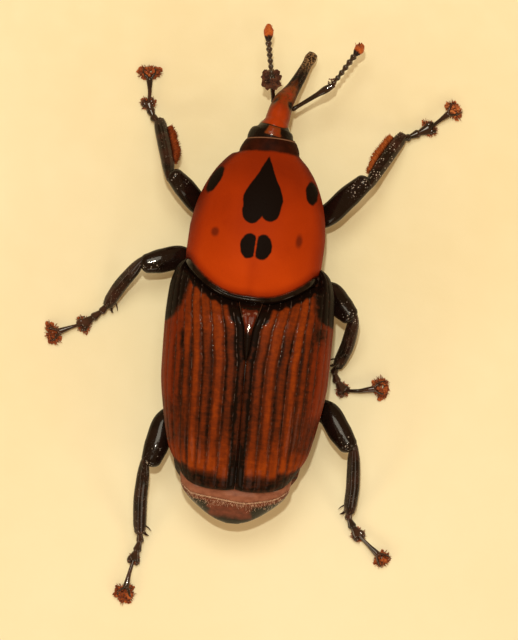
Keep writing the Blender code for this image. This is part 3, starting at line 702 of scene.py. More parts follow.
# How far the edges of the black root and of the black tail band wave from ridge to ridge
BASE_SCALLOP = 0.08
TAIL_SCALLOP = 0.04
PIT_SHADE = 0.31       # how much darker a groove is than its ridge
FLANK_DARK = 0.60      # the brown of the covers' rear flanks
# Along the cover, then how far across the black shoulder begins there
SHOULDER = {-1: ((-1.5, 6.9), (-1.2, 5.84), (-0.63, 5.28), (0.46, 4.77), (1.17, 4.57), (2.6, 4.3)),
            1: ((-1.4, 6.9), (-0.91, 6.10), (-0.26, 4.85), (0.70, 4.60), (1.64, 4.43), (2.6, 4.3))}


def cover_darkness(side, d, x, y, margin):
    """How black the cover is, from the run d, the place x, y and the distance to the shield's margin."""
    ridge = min(int((d - FIRST_STRIA) / STRIA_STEP + 1) if d > FIRST_STRIA else 0, STRIAE)
    own = 0.6 * math.sin(2.4 * ridge + side)       # every ridge's dark stretch has its own ends
    middle = step_up(-1.2 + own, -3.4 + own, y) * step_up(-11.4 + own, -9.0 + own, y)
    middle *= step_up(6.4, 5.0, d) * 0.7 + 0.3
    dark = RIDGE_DARK[side][ridge] + MIDDLE_DIM[ridge] * middle
    gap = min(abs(d - line) for line in stria_lines)
    reach = 0.07 + 0.09 * middle
    strength = 1.0 if ridge < 6 else 0.6
    groove = (PIT_SHADE - 0.12 * middle) * step_up(reach + 0.11, reach - 0.03, gap) * strength
    groove += 0.12 * middle * step_up(0.34, 0.14, gap)
    glow = 0.06 * step_up(-9.8 + own, -11.2, y) * step_up(0.4, 1.0, d)
    ragged = TAIL_SCALLOP * math.cos(2 * math.pi * (d - 0.97) / STRIA_STEP) + 0.3 * own
    tail = step_up(-11.5, -12.5, y - rear_lag(x, y) + ragged)
    shoulder = step_up(-0.60, 0.42, x - sizes_at(SHOULDER[side], y)[0])
    trail = 0.5 * hill(x, 5.2, 0.55) * hill(y, -1.3, 0.9) if side == 1 else 0.0
    scallop = BASE_SCALLOP * math.cos(2 * math.pi * (d - 0.97) / STRIA_STEP)
    base = step_up(-0.70 + scallop, -0.40 + scallop, margin)
    wide = 0.30 + 0.62 * step_up(-1.5, -0.7, y)
    root = step_up(wide + 0.22, wide - 0.18, x - inner_edge(y)) * step_up(-4.6, -3.4, y)
    seam = step_up(0.56, 0.34, d) * (0.94 - 0.16 * middle)
    root_red = 0.10 * step_up(-3.6, -1.6, y)
    flank = FLANK_DARK * step_up(3.3, 4.3, d) * step_up(-5.8, -7.6, y + 0.4 * side) * step_up(-10.9, -9.7, y)
    stripes = dark + groove - glow + trail + root_red
    return min(max(stripes, flank + 0.35 * groove, tail * 0.90, shoulder, base, root * 0.98, seam), 1.0)


# %% The rings of a cover
POINTS_PER_RIDGE = 10
COVER_STEPS = 200
LINING = 24
LINING_DARK = 0.9
RUN_COUNT = int(FULL_RUN / STRIA_STEP * POINTS_PER_RIDGE)
runs = np.linspace(0.0, FULL_RUN, RUN_COUNT + 1)
nearest_stria = np.abs(runs[:, None] - np.array(stria_lines)).argmin(axis=1)
stria_gap = np.abs(runs - np.array(stria_lines)[nearest_stria])


def groove_depth(y):
    """How deep each point of the row at y lies under the smooth back: grooves, pits, seam and ends."""
    ends = step_up(COVER_FRONT, COVER_FRONT - 0.5, y) * step_up(COVER_REAR - 0.1, COVER_REAR + 0.5, y)
    beat = 0.5 + 0.5 * np.cos(2 * np.pi * (y / PIT_STEP + 0.37 * nearest_stria ** 2))
    fade = 1.0 - 0.6 * np.clip((runs - 5.4) / 1.5, 0.0, 1.0)
    depth = GROOVE_DEPTH * np.exp(-(stria_gap / GROOVE_WIDTH) ** 2) * (0.85 + 0.25 * beat) * fade
    depth -= 0.020 * np.clip((stria_gap - 0.1) / 0.32, 0.0, 1.0) * fade
    depth = depth * ends + 0.15 * np.clip(1 - runs / 0.16, 0.0, 1.0) ** 2
    return depth + 0.12 * (1 - step_up(COVER_REAR, COVER_REAR + 0.22, y))


def cover_shell(side):
    """One wing cover: the ridged upper face, its side edge, and a smooth lining underneath."""
    rings, tags = [], {}
    for y in evenly(COVER_REAR, COVER_FRONT, COVER_STEPS):
        run, curve_x, curve_z = cover_curve(y)
        reach = runs - (FULL_RUN - run[-1]) * (runs / FULL_RUN) ** 3
        reach += inner_edge(y) * np.clip(1 - runs / FAN_RUN, 0.0, 1.0)
        reach += FAN * (0.35 + 0.65 * step_up(-6.0, -1.0, y)) * np.exp(-((runs - 3.0) / 2.0) ** 2)
        reach = np.minimum(reach, run[-1])
        xs, zs = np.interp(reach, run, curve_x), np.interp(reach, run, curve_z)
        slope = np.hypot(np.gradient(xs), np.gradient(zs)) + 1e-9
        depth = groove_depth(y)
        face = []
        for d, x, z in zip(runs, xs + np.gradient(zs) / slope * depth, zs - np.gradient(xs) / slope * depth):
            margin = -FAR_OUTSIDE
            if y > LEDGE_SEARCH:
                spot = SHIELD_AXIS.inverted() @ (HIND_AXIS @ Vector((side * x, y, 0.0)))
                margin, ledge = under_shield(spot.y, spot.x)
                if margin > -LEDGE_REACH:
                    fall = INNER_SLOPE if margin > 0 else LEDGE_SLOPE
                    z = soft_min(z, ledge - LEDGE_DROP - fall * margin)
            face.append((x, z))
            dark = cover_darkness(side, d, x, y, margin)
            note(tags, dark=dark, run=d, along=y, ruddy=step_up(4.0, 5.6, x))
        half, side_z, _, _ = sizes_at(HIND_BODY, y)
        thick = COVER_THICK * (0.45 + 0.55 * step_up(COVER_REAR, COVER_REAR + 1.2, y))
        for j in range(LINING):
            x, z = face[round(RUN_COUNT * (1 - j / (LINING - 1)))]
            inset = thick * min(1.0, (j + 0.5) / 4, (LINING - j - 0.4) / 2)
            inward = Vector((-x * (1.0 if z < side_z + 1.5 else 0.3), side_z - 1.0 - z)).normalized()
            face.append((x + inward.x * inset, z + inward.y * inset))
            note(tags, dark=LINING_DARK, run=0.0, along=y, ruddy=0.0)
        rings.append([Vector((side * x, y + rear_lag(x, y), z)) for x, z in face])
    return shell(rings, tags, HIND_AXIS)


# %% The covers' finish and the two covers
COVER_BRIGHT = (0.275, 0.047, 0.004)
COVER_WARM = (0.160, 0.026, 0.004)
COVER_BROWN = (0.083, 0.016, 0.004)
COVER_DARK = (0.040, 0.010, 0.004)
RUDDY = (0.160, 0.015, 0.003)
# The next colour is a painted highlight in the striae.
PIT_PAINTED_GLINT = (0.20, 0.145, 0.13)


def cover_finish():
    material, tree = new_finish("cover_striped", specular=0.03, coat=0.03, coat_roughness=0.08, coat_bend=2.0)
    join = tree.nodes.new("ShaderNodeCombineXYZ")
    wire(tree, join.inputs[0], times(tree, number(tree, "run"), 2.2 * MM))
    wire(tree, join.inputs[1], times(tree, number(tree, "along"), 0.35 * MM))
    streaks = speckle(tree, 1.0, detail=5.0, place=join.outputs[0])
    blots = speckle(tree, 2.6, detail=6.0, distortion=0.4)
    cross = tree.nodes.new("ShaderNodeCombineXYZ")
    wire(tree, cross.inputs[0], times(tree, number(tree, "run"), 1.4 * MM))
    wire(tree, cross.inputs[1], times(tree, number(tree, "along"), 6.0 * MM))
    ripples = speckle(tree, 1.0, detail=3.0, place=cross.outputs[0])
    dark = plus(tree, number(tree, "dark"), swing(tree, streaks, 0.46))
    dark = plus(tree, dark, swing(tree, blots, 0.54))
    dark = plus(tree, dark, swing(tree, ripples, 0.26))
    colour = shades(tree, dark, (0.08, COVER_BRIGHT), (0.36, COVER_WARM), (0.58, COVER_BROWN),
                    (0.76, COVER_DARK), (0.95, BLACK))
    red = times(tree, number(tree, "ruddy"), spread(tree, dark, 0.85, 0.35, 0.0, 0.60))
    colour = paint(tree, red, colour, RUDDY)
    # Thin dashed pale lines along the striae, stronger towards the root, are a painted highlight.
    past_first = calc(tree, "SUBTRACT", number(tree, "run"), FIRST_STRIA)
    from_stria = calc(tree, "PINGPONG", past_first, STRIA_STEP / 2)
    dashes = spread(tree, speckle(tree, 3.2, detail=4.0), 0.48, 0.66)
    gleam = times(tree, spread(tree, from_stria, 0.050, 0.010), dashes)
    gleam = times(tree, gleam, spread(tree, number(tree, "along"), -9.0, -0.5, 0.20, 0.52))
    gleam = times(tree, gleam, spread(tree, number(tree, "run"), 0.40, 0.50))
    colour = paint(tree, gleam, colour, PIT_PAINTED_GLINT)
    rough = plus(tree, spread(tree, from_stria, 0.0, 0.16, 0.22, 0.42), times(tree, speckle(tree, 5.0), 0.12))
    wrinkles = speckle(tree, 9.0, detail=5.0, distortion=0.6)
    normal = relief(tree, pits(tree, 5.0, size=0.25), 0.006, relief(tree, wrinkles, 0.012))
    return dress(material, colour, rough, normal)


cover_skin = cover_finish()
for side_name, side in SIDES.items():
    build_piece("wing_cover_" + side_name, [cover_shell(side)], cover_skin, "wing_cover",
                "elytron_" + side_name)

# %% [markdown]
# ## The root plate, the tail plate and the underside
#
# The scutellum is a small long triangle wedged between the roots of the covers: reddish and polished in
# front, black towards its tip. The pygidium is the last plate of the back, which the short covers leave
# bare. It has a fringe of pale hairs along a low step. Under the covers the whole trunk is one skin of
# overlapping belly plates, so it is laid as one piece in place of the two CAD solids.

# %% The root plate
PLATE_ROOT = 0.75       # how far forward it runs on under the shield
PLATE_STEPS = 60
PLATE_RED_DEEP = (0.055, 0.008, 0.002)
PLATE_RED = (0.140, 0.018, 0.004)
PLATE_PAINTED_GLINT = (0.42, 0.30, 0.25)
EDGE_PAINTED_HIGHLIGHT = (0.16, 0.07, 0.04)


def scutellum_shell():
    """A low polished wedge that stands a little above the covers beside it."""
    rings = []
    tags = {"along": [], "across": []}
    profile = evenly(0.0, math.pi, 24)
    for y in evenly(SCUTELLUM[0][0], PLATE_ROOT, PLATE_STEPS):
        half = sizes_at(SCUTELLUM, y)[0]
        top = sizes_at(HIND_BODY, y)[2]
        crown = 0.07 * step_up(-3.6, -1.6, y) + 0.015
        sink = 0.45 * step_up(0.05, PLATE_ROOT, y)
        ring = []
        for angle in profile:
            x = -half * math.cos(angle)
            dip = 0.06 * hill(x, 0.0, 0.22) * step_up(-1.9, -0.9, y)
            ring.append(Vector((x, y, top - 0.16 - sink + (crown + 0.15) * math.sin(angle) ** 0.6 - dip)))
        ring += [Vector((half * 0.7, y, top - 0.5 - sink)), Vector((-half * 0.7, y, top - 0.5 - sink))]
        rings.append(ring)
        tags["along"] += [y] * len(ring)
        tags["across"] += [abs(point.x) / half for point in ring]
    return shell(rings, tags, HIND_AXIS)


def scutellum_finish():
    material, tree = new_finish("root_plate_red", specular=0.04, coat=0.06, coat_roughness=0.06,
                                coat_bend=2.0)
    grain = swing(tree, speckle(tree, 4.0, detail=4.0), 0.7)
    along = plus(tree, number(tree, "along"), grain)
    tip = spread(tree, along, -1.1, -1.9)
    front = spread(tree, along, -0.12, 0.12)
    edge = spread(tree, number(tree, "across"), 0.70, 0.92)
    dark = largest(tree, tip, front, edge)
    red = two_tones(tree, 2.0, PLATE_RED_DEEP, PLATE_RED)
    colour = paint(tree, dark, red, BLACK)
    # A pale painted highlight near the plate's front.
    brow = times(tree, spread(tree, along, -0.62, -0.42), spread(tree, along, -0.10, -0.28))
    bright = times(tree, brow, spread(tree, speckle(tree, 3.4, detail=3.0), 0.50, 0.64, 0.0, 0.40))
    # Thin orange brown lines along both edges towards the tip are painted highlights.
    beside = spread(tree, number(tree, "across"), 0.90, 0.98)
    painted_edge_highlights = times(tree, beside, spread(tree, along, -3.6, -2.8))
    colour = paint(tree, bright, colour, PLATE_PAINTED_GLINT)
    colour = paint(tree, times(tree, painted_edge_highlights, 0.5), colour, EDGE_PAINTED_HIGHLIGHT)
    rough = uneven(tree, 6.0, 0.22, 0.34)
    return dress(material, colour, rough, relief(tree, speckle(tree, 10.0, detail=4.0), 0.012))


build_piece("root_plate", [scutellum_shell()], scutellum_finish(), "maroon_shell", "scutellum")

# %% The trunk under the covers
TRUNK_REAR = -12.60
PLATE_SEAMS = (-6.55, -8.05, -9.45, -10.75, -11.95)
PLATE_STEP = 0.16
TRUNK_FRONT = 3.3
TRUNK_STEPS = 210
TRUNK_COUNT = 144
BELLY_BROWN = (0.026, 0.010, 0.006)
BELLY_RED = (0.090, 0.016, 0.006)
SEAM_BLACK = (0.004, 0.003, 0.002)


def trunk_shell():
    """Belly plates, each a little lower at its rear edge, under a back that the covers hide."""
    rings, tags = [], {}
    for y in evenly(TRUNK_REAR, TRUNK_FRONT, TRUNK_STEPS):
        half, side, top, bottom = sizes_at(HIND_BODY, y)
        ledge = side - EDGE_DROP - 0.18
        step = 0.0
        seam_gap = 2.0
        for seam, after in zip((TRUNK_FRONT, *PLATE_SEAMS), PLATE_SEAMS):
            if after <= y < seam < TRUNK_FRONT:
                step = PLATE_STEP * (y - after) / (seam - after)
            seam_gap = min(seam_gap, abs(y - after))
        shut = 1 - 0.35 * step_up(-11.8, TRUNK_REAR, y) ** 2
        ring = []
        for angle in full_turn(TRUNK_COUNT):
            if angle < math.pi:
                inset = 0.77
                across = (half - inset) * signed_power(math.cos(angle), 2 / FLAT_TOP)
                height = ledge + (top - inset - ledge) * abs(math.sin(angle)) ** (2 / FLAT_TOP)
            else:
                across = (half - 0.08 - step) * signed_power(math.cos(angle), 2 / ROUND_BELLY)
                height = ledge - (ledge - bottom - step) * abs(math.sin(angle)) ** (2 / ROUND_BELLY) * shut
                height += 0.05 * hill(across, 0.0, 0.09) * step_up(-6.4, -5.9, y)
            ring.append(Vector((across * (0.92 + 0.08 * shut), y, height)))
            note(tags, seam=seam_gap, low=1.0 - (height - bottom) / (side - bottom))
        rings.append(ring)
    return shell(rings, tags, HIND_AXIS)


def trunk_finish():
    material, tree = new_finish("belly_black", specular=0.3, coat=0.25, coat_roughness=0.12)
    cloud = speckle(tree, 0.45, detail=4.0, distortion=0.5)
    red = times(tree, spread(tree, cloud, 0.50, 0.66), spread(tree, number(tree, "low"), 0.95, 0.3))
    black = two_tones(tree, 3.0, BLACK, BELLY_BROWN, light_from=0.8)
    colour = paint(tree, red, black, BELLY_RED)
    seam = spread(tree, number(tree, "seam"), 0.10, 0.02)
    colour = paint(tree, seam, colour, SEAM_BLACK)
    rough = uneven(tree, 4.0, 0.22, 0.36)
    normal = relief(tree, pits(tree, 3.4, size=0.3), 0.016, relief(tree, speckle(tree, 12.0), 0.006))
    return dress(material, colour, rough, normal)


belly_skin = trunk_finish()
build_piece("trunk_skin", [trunk_shell()], belly_skin, "black_shell", "thorax", "abdomen")

# %% [markdown]
# ## The tail plate
#
# The covers stop short, and the last plate of the back, the pygidium, is bare: brown under the edge of
# the covers, plum coloured in the middle, greenish black and glossy at its sides. A low step crosses
# it, and a fringe of pale hairs is rooted there, so the step is formed in the plate itself.

# %% The tail plate
TAIL_PLATE = (
    (-15.68, 0.45, 4.08, 4.30, 3.80),
    (-15.45, 1.17, 4.20, 4.65, 3.55),
    (-15.05, 1.92, 4.35, 5.10, 3.30),
    (-14.50, 2.68, 4.55, 5.75, 3.00),
    (-13.95, 3.32, 4.75, 6.30, 2.75),
    (-13.45, 3.74, 4.85, 6.70, 2.55),
    (-12.95, 3.98, 4.90, 6.92, 2.45),
    (-12.10, 4.10, 4.95, 7.00, 2.35),
)
# Place across the plate, then the step's place along the body there
TAIL_STEP = ((-4.00, -12.80), (-3.57, -13.24), (-3.10, -13.57), (-1.43, -13.79), (-0.09, -13.96),
             (0.57, -14.03), (1.84, -13.85), (3.13, -13.47), (3.89, -12.88), (4.37, -12.45))
STEP_DROP = 0.07
TAIL_BLACK = (0.008, 0.007, 0.005)
PLUM_DEEP = (0.095, 0.022, 0.012)
PLUM = (0.185, 0.046, 0.026)
TAIL_BROWN_DEEP = (0.20, 0.070, 0.044)
TAIL_BROWN = (0.33, 0.135, 0.085)


def behind_step(x, y):
    """How far behind the step a point of the tail plate lies."""
    return sizes_at(TAIL_STEP, x)[0] - y


def tail_point(angle, y):
    """A point on the tail plate at an angle round it, 90 degrees on the middle of its back."""
    half, side, top, bottom = sizes_at(TAIL_PLATE, y)
    above = math.sin(angle) > 0
    power = 2 / (SHIELD_TOP if above else ROUND_BELLY)
    x = half * signed_power(math.cos(angle), power)
    reach = top - side if above else side - bottom
    z = side + reach * signed_power(math.sin(angle), power)
    if above:
        z -= STEP_DROP * step_up(-0.06, 0.10, behind_step(x, y)) * math.sin(angle)
        z -= 0.05 * hill(x, 0.0, 0.5) * step_up(-14.6, -15.4, y)
    return Vector((x, y, z))


def tail_shell():
    rings = []
    tags = {"behind": [], "across": [], "tip": []}
    for y in evenly(TAIL_PLATE[-1][0], TAIL_PLATE[0][0], 120):
        ring = [tail_point(angle, y) for angle in full_turn(180)]
        rings.append(ring)
        tags["behind"] += [behind_step(point.x, y) for point in ring]
        tags["across"] += [abs(point.x + 0.25) for point in ring]
        tags["tip"] += [y] * len(ring)
    return shell(rings, tags, HIND_AXIS)


def tail_finish():
    material, tree = new_finish("tail_plum", specular=0.12, coat=0.08, coat_roughness=0.12, coat_bend=2.0)
    ragged = swing(tree, speckle(tree, 1.6, detail=5.0), 0.8)
    plum = two_tones(tree, 3.0, PLUM_DEEP, PLUM, detail=5.0)
    brown = two_tones(tree, 2.0, TAIL_BROWN_DEEP, TAIL_BROWN)
    front = ragged_edge(tree, "behind", times(tree, ragged, 0.3), 0.06, -0.12)
    colour = blend(tree, front, plum, brown)
    side = ragged_edge(tree, "across", ragged, 1.35, 1.75)
    late = ragged_edge(tree, "behind", times(tree, ragged, 0.5), 0.22, 0.50)
    tip = ragged_edge(tree, "tip", times(tree, ragged, 0.5), -15.0, -15.4)
    dark = largest(tree, times(tree, side, late), tip)
    colour = paint(tree, dark, colour, TAIL_BLACK)
    rough = plus(tree, spread(tree, dark, 0.0, 1.0, 0.48, 0.20), times(tree, speckle(tree, 5.0), 0.1))
    grain = relief(tree, speckle(tree, 8.0, detail=5.0), 0.012)
    return dress(material, colour, rough, relief(tree, pits(tree, 7.0, size=0.3), 0.010, grain))


build_piece("tail_plate", [tail_shell()], tail_finish(), "maroon_shell", "pygidium")

# %% [markdown]
# ## The head and the beak
#
# The head is a small globe that turns in the collar, and it runs out in a long curved beak with the
# jaws at its tip. The feelers spring from two hollows half way along. The head and the beak are one
# hard capsule, so they are one limb along a bent path, with its hollows and its ridge added as a
# growth that depends on the place along it and round it.

# %% Limbs along a path
END_STEPS = 7


def heading(start, end):
    """The direction from one point to another."""
    return (Vector(end) - Vector(start)).normalized()


def rightward(ahead):
    """The level direction to the right of one that looks ahead."""
    return ahead.cross(UP).normalized()


def limb_rows(path):
    """Adds the distance run to each (x, y, z, width, depth) row."""
    rows, run = [], 0.0
    for k, row in enumerate(path):
        if k:
            run += (Vector(row[:3]) - Vector(path[k - 1][:3])).length
        rows.append((run, *row))
    return rows


def limb_frame(rows, run):
    """Centre, ahead, side, lift and the two half sizes of a limb at a distance along it."""
    x, y, z, width, depth = sizes_at(rows, run)
    near = 0.01 * rows[-1][0]
    before, after = (Vector(sizes_at(rows, place)[:3]) for place in (run - near, run + near))
    ahead = heading(before, after)
    side = rightward(ahead)
    return Vector((x, y, z)), ahead, side, side.cross(ahead), width / 2, depth / 2


def limb_point(frame_here, angle, grow=0.0):
    """A point of the limb's skin; angle 0 is its right side and 90 degrees its upper side."""
    centre, _, side, lift, wide, deep = frame_here
    return centre + side * ((wide + grow) * math.cos(angle)) + lift * ((deep + grow) * math.sin(angle))


def limb_shell(path, count=36, steps=50, form=None, marks=None):
    """A closed limb with round ends; form(run, angle) grows it, marks(run, angle) gives its numbers."""
    rows = limb_rows(path)
    length = rows[-1][0]
    rings, tags = [], {}
    for k in range(-END_STEPS, steps + END_STEPS + 1):
        run = length * min(max(k / steps, 0.0), 1.0)
        centre, ahead, side, lift, wide, deep = limb_frame(rows, run)
        away = math.radians(86.0) * max(-k, k - steps, 0) / END_STEPS
        centre += ahead * (math.copysign(min(wide, deep), k - 1) * math.sin(away))
        small = math.cos(away)
        here = (centre, ahead, side, lift, wide * small, deep * small)
        ring = []
        for angle in full_turn(count):
            grow = form(run, angle) * small if form else 0.0
            ring.append(limb_point(here, angle, grow))
            note(tags, share=run / length, **(marks(run, angle) if marks else {}))
        rings.append(ring)
    return shell(rings, tags)


def between(a, b, share, lift=0.0):
    point = Vector(a).lerp(Vector(b), share)
    point.z += lift
    return point


def round_gap(angle, middle):
    """The distance between two angles the short way round."""
    return abs((angle - middle + math.pi) % (2 * math.pi) - math.pi)


# %% The head's path and form
HEAD = (
    (1.18, 12.72, 5.22, 3.46, 3.20),
    (1.27, 13.06, 5.22, 3.38, 3.20),
    (1.37, 13.35, 5.21, 3.04, 3.08),
    (1.44, 13.59, 5.19, 2.62, 2.92),
    (1.53, 13.83, 5.17, 2.12, 2.70),
    (1.62, 14.05, 5.12, 1.82, 2.50),
    (1.88, 14.87, 4.95, 1.70, 2.25),
    (2.08, 15.44, 4.70, 1.60, 1.95),
    (2.45, 16.00, 4.28, 1.32, 1.50),
    (2.85, 16.60, 3.78, 1.04, 1.18),
    (3.40, 17.53, 3.00, 0.88, 0.98),
    (3.89, 18.45, 2.15, 0.76, 0.84),
    (4.12, 18.85, 1.80, 0.88, 0.78),
    (4.22, 19.02, 1.65, 0.80, 0.66),
)
head_rows = limb_rows(HEAD)
BROW = 0.90           # where the beak's base begins on top, in mm along the path
BROW_BEND = 0.31      # and how much further ahead it begins at the right side
SOCKET = 2.70         # where the feelers are rooted
DARK_BEAK = 4.75      # from here the beak is nearly black


def brow_at(angle):
    return BROW + BROW_BEND * max(math.cos(angle), 0.0) ** 2


def head_form(run, angle):
    """The brow's groove, the feelers' hollows, the fine ridge and the rough skin of the beak's tip."""
    top = math.pi / 2
    grow = -0.05 * hill(run, brow_at(angle), 0.07) * step_up(-0.1, 0.5, math.sin(angle))
    grow -= 0.20 * hill(run, 0.84, 0.42) * step_up(0.15, 0.95, -math.cos(angle))
    for middle in (math.radians(38), math.radians(142)):
        grow -= 0.15 * hill(run, SOCKET, 0.26) * hill(round_gap(angle, middle), 0.0, 0.36)
    for middle in (0.0, math.pi):
        grow -= 0.13 * hill(run, SOCKET + 0.55, 0.55) * hill(round_gap(angle, middle), -0.25, 0.30)
    grow += 0.030 * hill(round_gap(angle, top), 0.0, 0.22) * step_up(3.2, 4.4, run) * step_up(7.4, 6.6, run)
    grow -= 0.040 * hill(round_gap(angle, top), 0.55, 0.16) * step_up(3.0, 4.4, run) * step_up(7.2, 6.2, run)
    return grow


def head_marks(run, angle):
    """How orange the head is, from 0 for black to 1, and where its skin is rough."""
    across, up = math.cos(angle), math.sin(angle)
    brow = brow_at(angle)
    if run < brow:
        wedge = step_up(0.36, 0.24, abs(across - 0.02) - 0.10 * (brow - run)) * step_up(0.26, 0.38, run)
        tone = 0.66 * wedge * step_up(0.1, 0.4, up) * step_up(brow, brow - 0.06, run)
    else:
        tone = 0.98 - 0.32 * step_up(1.7, 2.9, run) - 0.62 * step_up(DARK_BEAK - 1.4, DARK_BEAK + 0.6, run)
        # Darker underneath and at the sides of the beak: painted shade.
        tone -= 0.35 * step_up(0.45, -0.2, up) + 0.28 * step_up(0.45, 0.95, abs(across))
        for middle, strength in ((math.radians(40), 0.75), (math.radians(135), 0.45)):
            tone -= strength * hill(run, SOCKET - 0.05, 0.26) * hill(round_gap(angle, middle), 0.0, 0.42)
        tone *= step_up(brow, brow + 0.10, run)
    rough = max(step_up(1.9, 3.2, run), 0.45 * (run < brow))
    return {"tone": max(tone, 0.0), "rough": rough, "dusty": step_up(5.6, 7.2, run)}


# %% The head's finish and the head
HEAD_DARK = (0.044, 0.010, 0.003)
HEAD_BROWN = (0.165, 0.040, 0.007)
HEAD_ORANGE = (0.250, 0.028, 0.004)
HEAD_BRIGHT = (0.36, 0.040, 0.004)
PIT_PAINTED_SHADE = (0.016, 0.006, 0.003)
BEAK_DUST = (0.36, 0.215, 0.105)


def head_finish():
    material, tree = new_finish("head_orange_black", specular=0.05, coat=0.07, coat_roughness=0.08,
                                coat_bend=2.0)
    strength = spread(tree, number(tree, "rough"), 0.0, 1.0, 0.30, 1.10)
    mottle = swing(tree, speckle(tree, 2.2, detail=5.0, distortion=0.5), strength)
    tone = plus(tree, number(tree, "tone"), mottle)
    colour = shades(tree, tone, (0.05, BLACK), (0.22, HEAD_DARK), (0.50, HEAD_BROWN), (0.80, HEAD_ORANGE),
                    (1.0, HEAD_BRIGHT))
    holes = pits(tree, 5.2, size=0.42)
    # Painted shade in the pits of the rough skin.
    shadow = times(tree, calc(tree, "SUBTRACT", 1.0, holes), number(tree, "rough"))
    colour = paint(tree, times(tree, shadow, 0.75), colour, PIT_PAINTED_SHADE)
    dust = times(tree, spread(tree, speckle(tree, 7.0, detail=6.0), 0.44, 0.60), number(tree, "dusty"))
    colour = paint(tree, times(tree, dust, 0.80), colour, BEAK_DUST)
    rough = spread(tree, number(tree, "rough"), 0.0, 1.0, 0.26, 0.40)
    rough = plus(tree, rough, times(tree, speckle(tree, 6.0), 0.12))
    depth = times(tree, holes, spread(tree, number(tree, "rough"), 0.0, 1.0, 0.25, 1.0))
    normal = relief(tree, depth, 0.030, relief(tree, speckle(tree, 12.0, detail=4.0), 0.008))
    return dress(material, colour, rough, normal)


head_skin = head_finish()
jaws = []
tip_centre, tip_ahead, tip_side, _, _, _ = limb_frame(head_rows, head_rows[-1][0])
for way in (-1, 1):
    root = tip_centre + tip_side * (0.20 * way)
    bulge = root + tip_ahead * 0.22 + tip_side * 0.07 * way
    point = root + tip_ahead * 0.36 - tip_side * 0.04 * way
    jaws.append(limb_shell([(*root, 0.26, 0.30), (*bulge, 0.20, 0.22), (*point, 0.07, 0.08)], 12, 8))
build_piece("head_and_beak", [limb_shell(HEAD, 96, 260, head_form, head_marks), *jaws], head_skin,
            "black_shell", "head")

# %% [markdown]
# ## The eyes
#
# A weevil's compound eyes are flat black ovals, wrapped round the sides of the head where the beak
# begins, and they nearly meet underneath. They stay pieces of their own, in the place and size of the
# CAD solids, with a lens-like gloss and hundreds of fine facets as a bump.

# %% The eyes
EYE_PLACE = (0.84, 0.82, 4.82)
EYE_RADII = (0.34, 0.46, 0.86)
EYE_BLACK = (0.004, 0.003, 0.003)
EYE_BROWN = (0.014, 0.010, 0.008)


def ball_shell(centre, radii, spin=None, count=48, levels=28, dent=None):
    """An egg with its poles up and down; dent(direction) gives the share by which its skin moves in."""
    rings = []
    for level in range(levels + 1):
        polar = math.pi * (0.01 + 0.98 * level / levels)
        ring = []
        for angle in full_turn(count):
            around = math.sin(polar)
            out = Vector((around * math.cos(angle), around * math.sin(angle), -math.cos(polar)))
            scale = 1.0 - (dent(out) if dent else 0.0)
            place = Vector((out.x * radii[0], out.y * radii[1], out.z * radii[2])) * scale
            ring.append(Vector(centre) + (spin @ place if spin else place))
        rings.append(ring)
    return shell(rings)


def eye_finish():
    material, tree = new_finish("eye_black", specular=0.6, coat=0.9, coat_roughness=0.05)
    facets = pits(tree, 22.0, size=0.5)
    colour = two_tones(tree, 3.0, EYE_BLACK, EYE_BROWN, light_from=0.8)
    rough = uneven(tree, 5.0, 0.12, 0.20)
    return dress(material, colour, rough, relief(tree, facets, 0.006))


eye_skin = eye_finish()
for side_name, side in SIDES.items():
    centre = HEAD_AXIS @ Vector((side * EYE_PLACE[0], EYE_PLACE[1], EYE_PLACE[2]))
    spin = HEAD_AXIS.to_3x3() @ Matrix.Rotation(math.radians(14.0 * side), 3, "Z")
    name = "eye_" + side_name
    build_piece(name, [ball_shell(centre, EYE_RADII, spin)], eye_skin, "eye", name)

# %% [markdown]
# ## The feelers
#
# Each feeler has a long shaft that thickens to an elbow, six beads and a flattened club. The shaft and
# the beads are polished, and the club's outer part is a sponge of fine orange felt. A string of lathed
# profiles would do, and the limb helper is just that with a bent path.

# %% The polished black of limbs and feelers
DUST_AND_GLINT_GREY = (0.50, 0.45, 0.41)


def limb_finish(name, red=0.5, sparkle=1.0, gloss=0.16, coat=0.15, dust_and_glint_specks=0.0):
    """Black chitin with a red gleam where it is thin, fine wrinkles, and pits near the joints, with pale dots
    there that are partly dust and partly painted glints.
    """
    material, tree = new_finish(name, specular=0.06, coat=coat, coat_roughness=0.05, coat_bend=2.2)
    cloud = speckle(tree, 0.9, detail=4.0, distortion=0.4)
    gleam = (0.006 + 0.022 * red, 0.004 + 0.006 * red, 0.003 + 0.004 * red)
    colour = shades(tree, cloud, (0.35, BLACK), (0.75, gleam))
    rough = uneven(tree, 3.5, gloss, gloss + 0.14)
    joint = spread(tree, number(tree, "pitted"), 0.0, 1.0, 0.12, 1.0)
    # Pale dots near the joints and, by amount, over the shins: partly dust, partly painted glints.
    amount = largest(tree, spread(tree, number(tree, "pitted"), 0.55, 1.0, 0.0, 0.8), dust_and_glint_specks)
    dust_and_glint_dots = times(tree, spread(tree, pits(tree, 5.2, size=1.0), 0.23, 0.08), amount)
    dust_and_glint_dots = times(tree, dust_and_glint_dots, spread(tree, speckle(tree, 1.6, detail=2.0), 0.43, 0.54))
    colour = paint(tree, dust_and_glint_dots, colour, DUST_AND_GLINT_GREY)
    height = times(tree, pits(tree, 4.6, size=0.42), joint)
    normal = relief(tree, height, 0.030 * sparkle, relief(tree, speckle(tree, 11.0, detail=4.0), 0.005))
    return dress(material, colour, rough, normal)


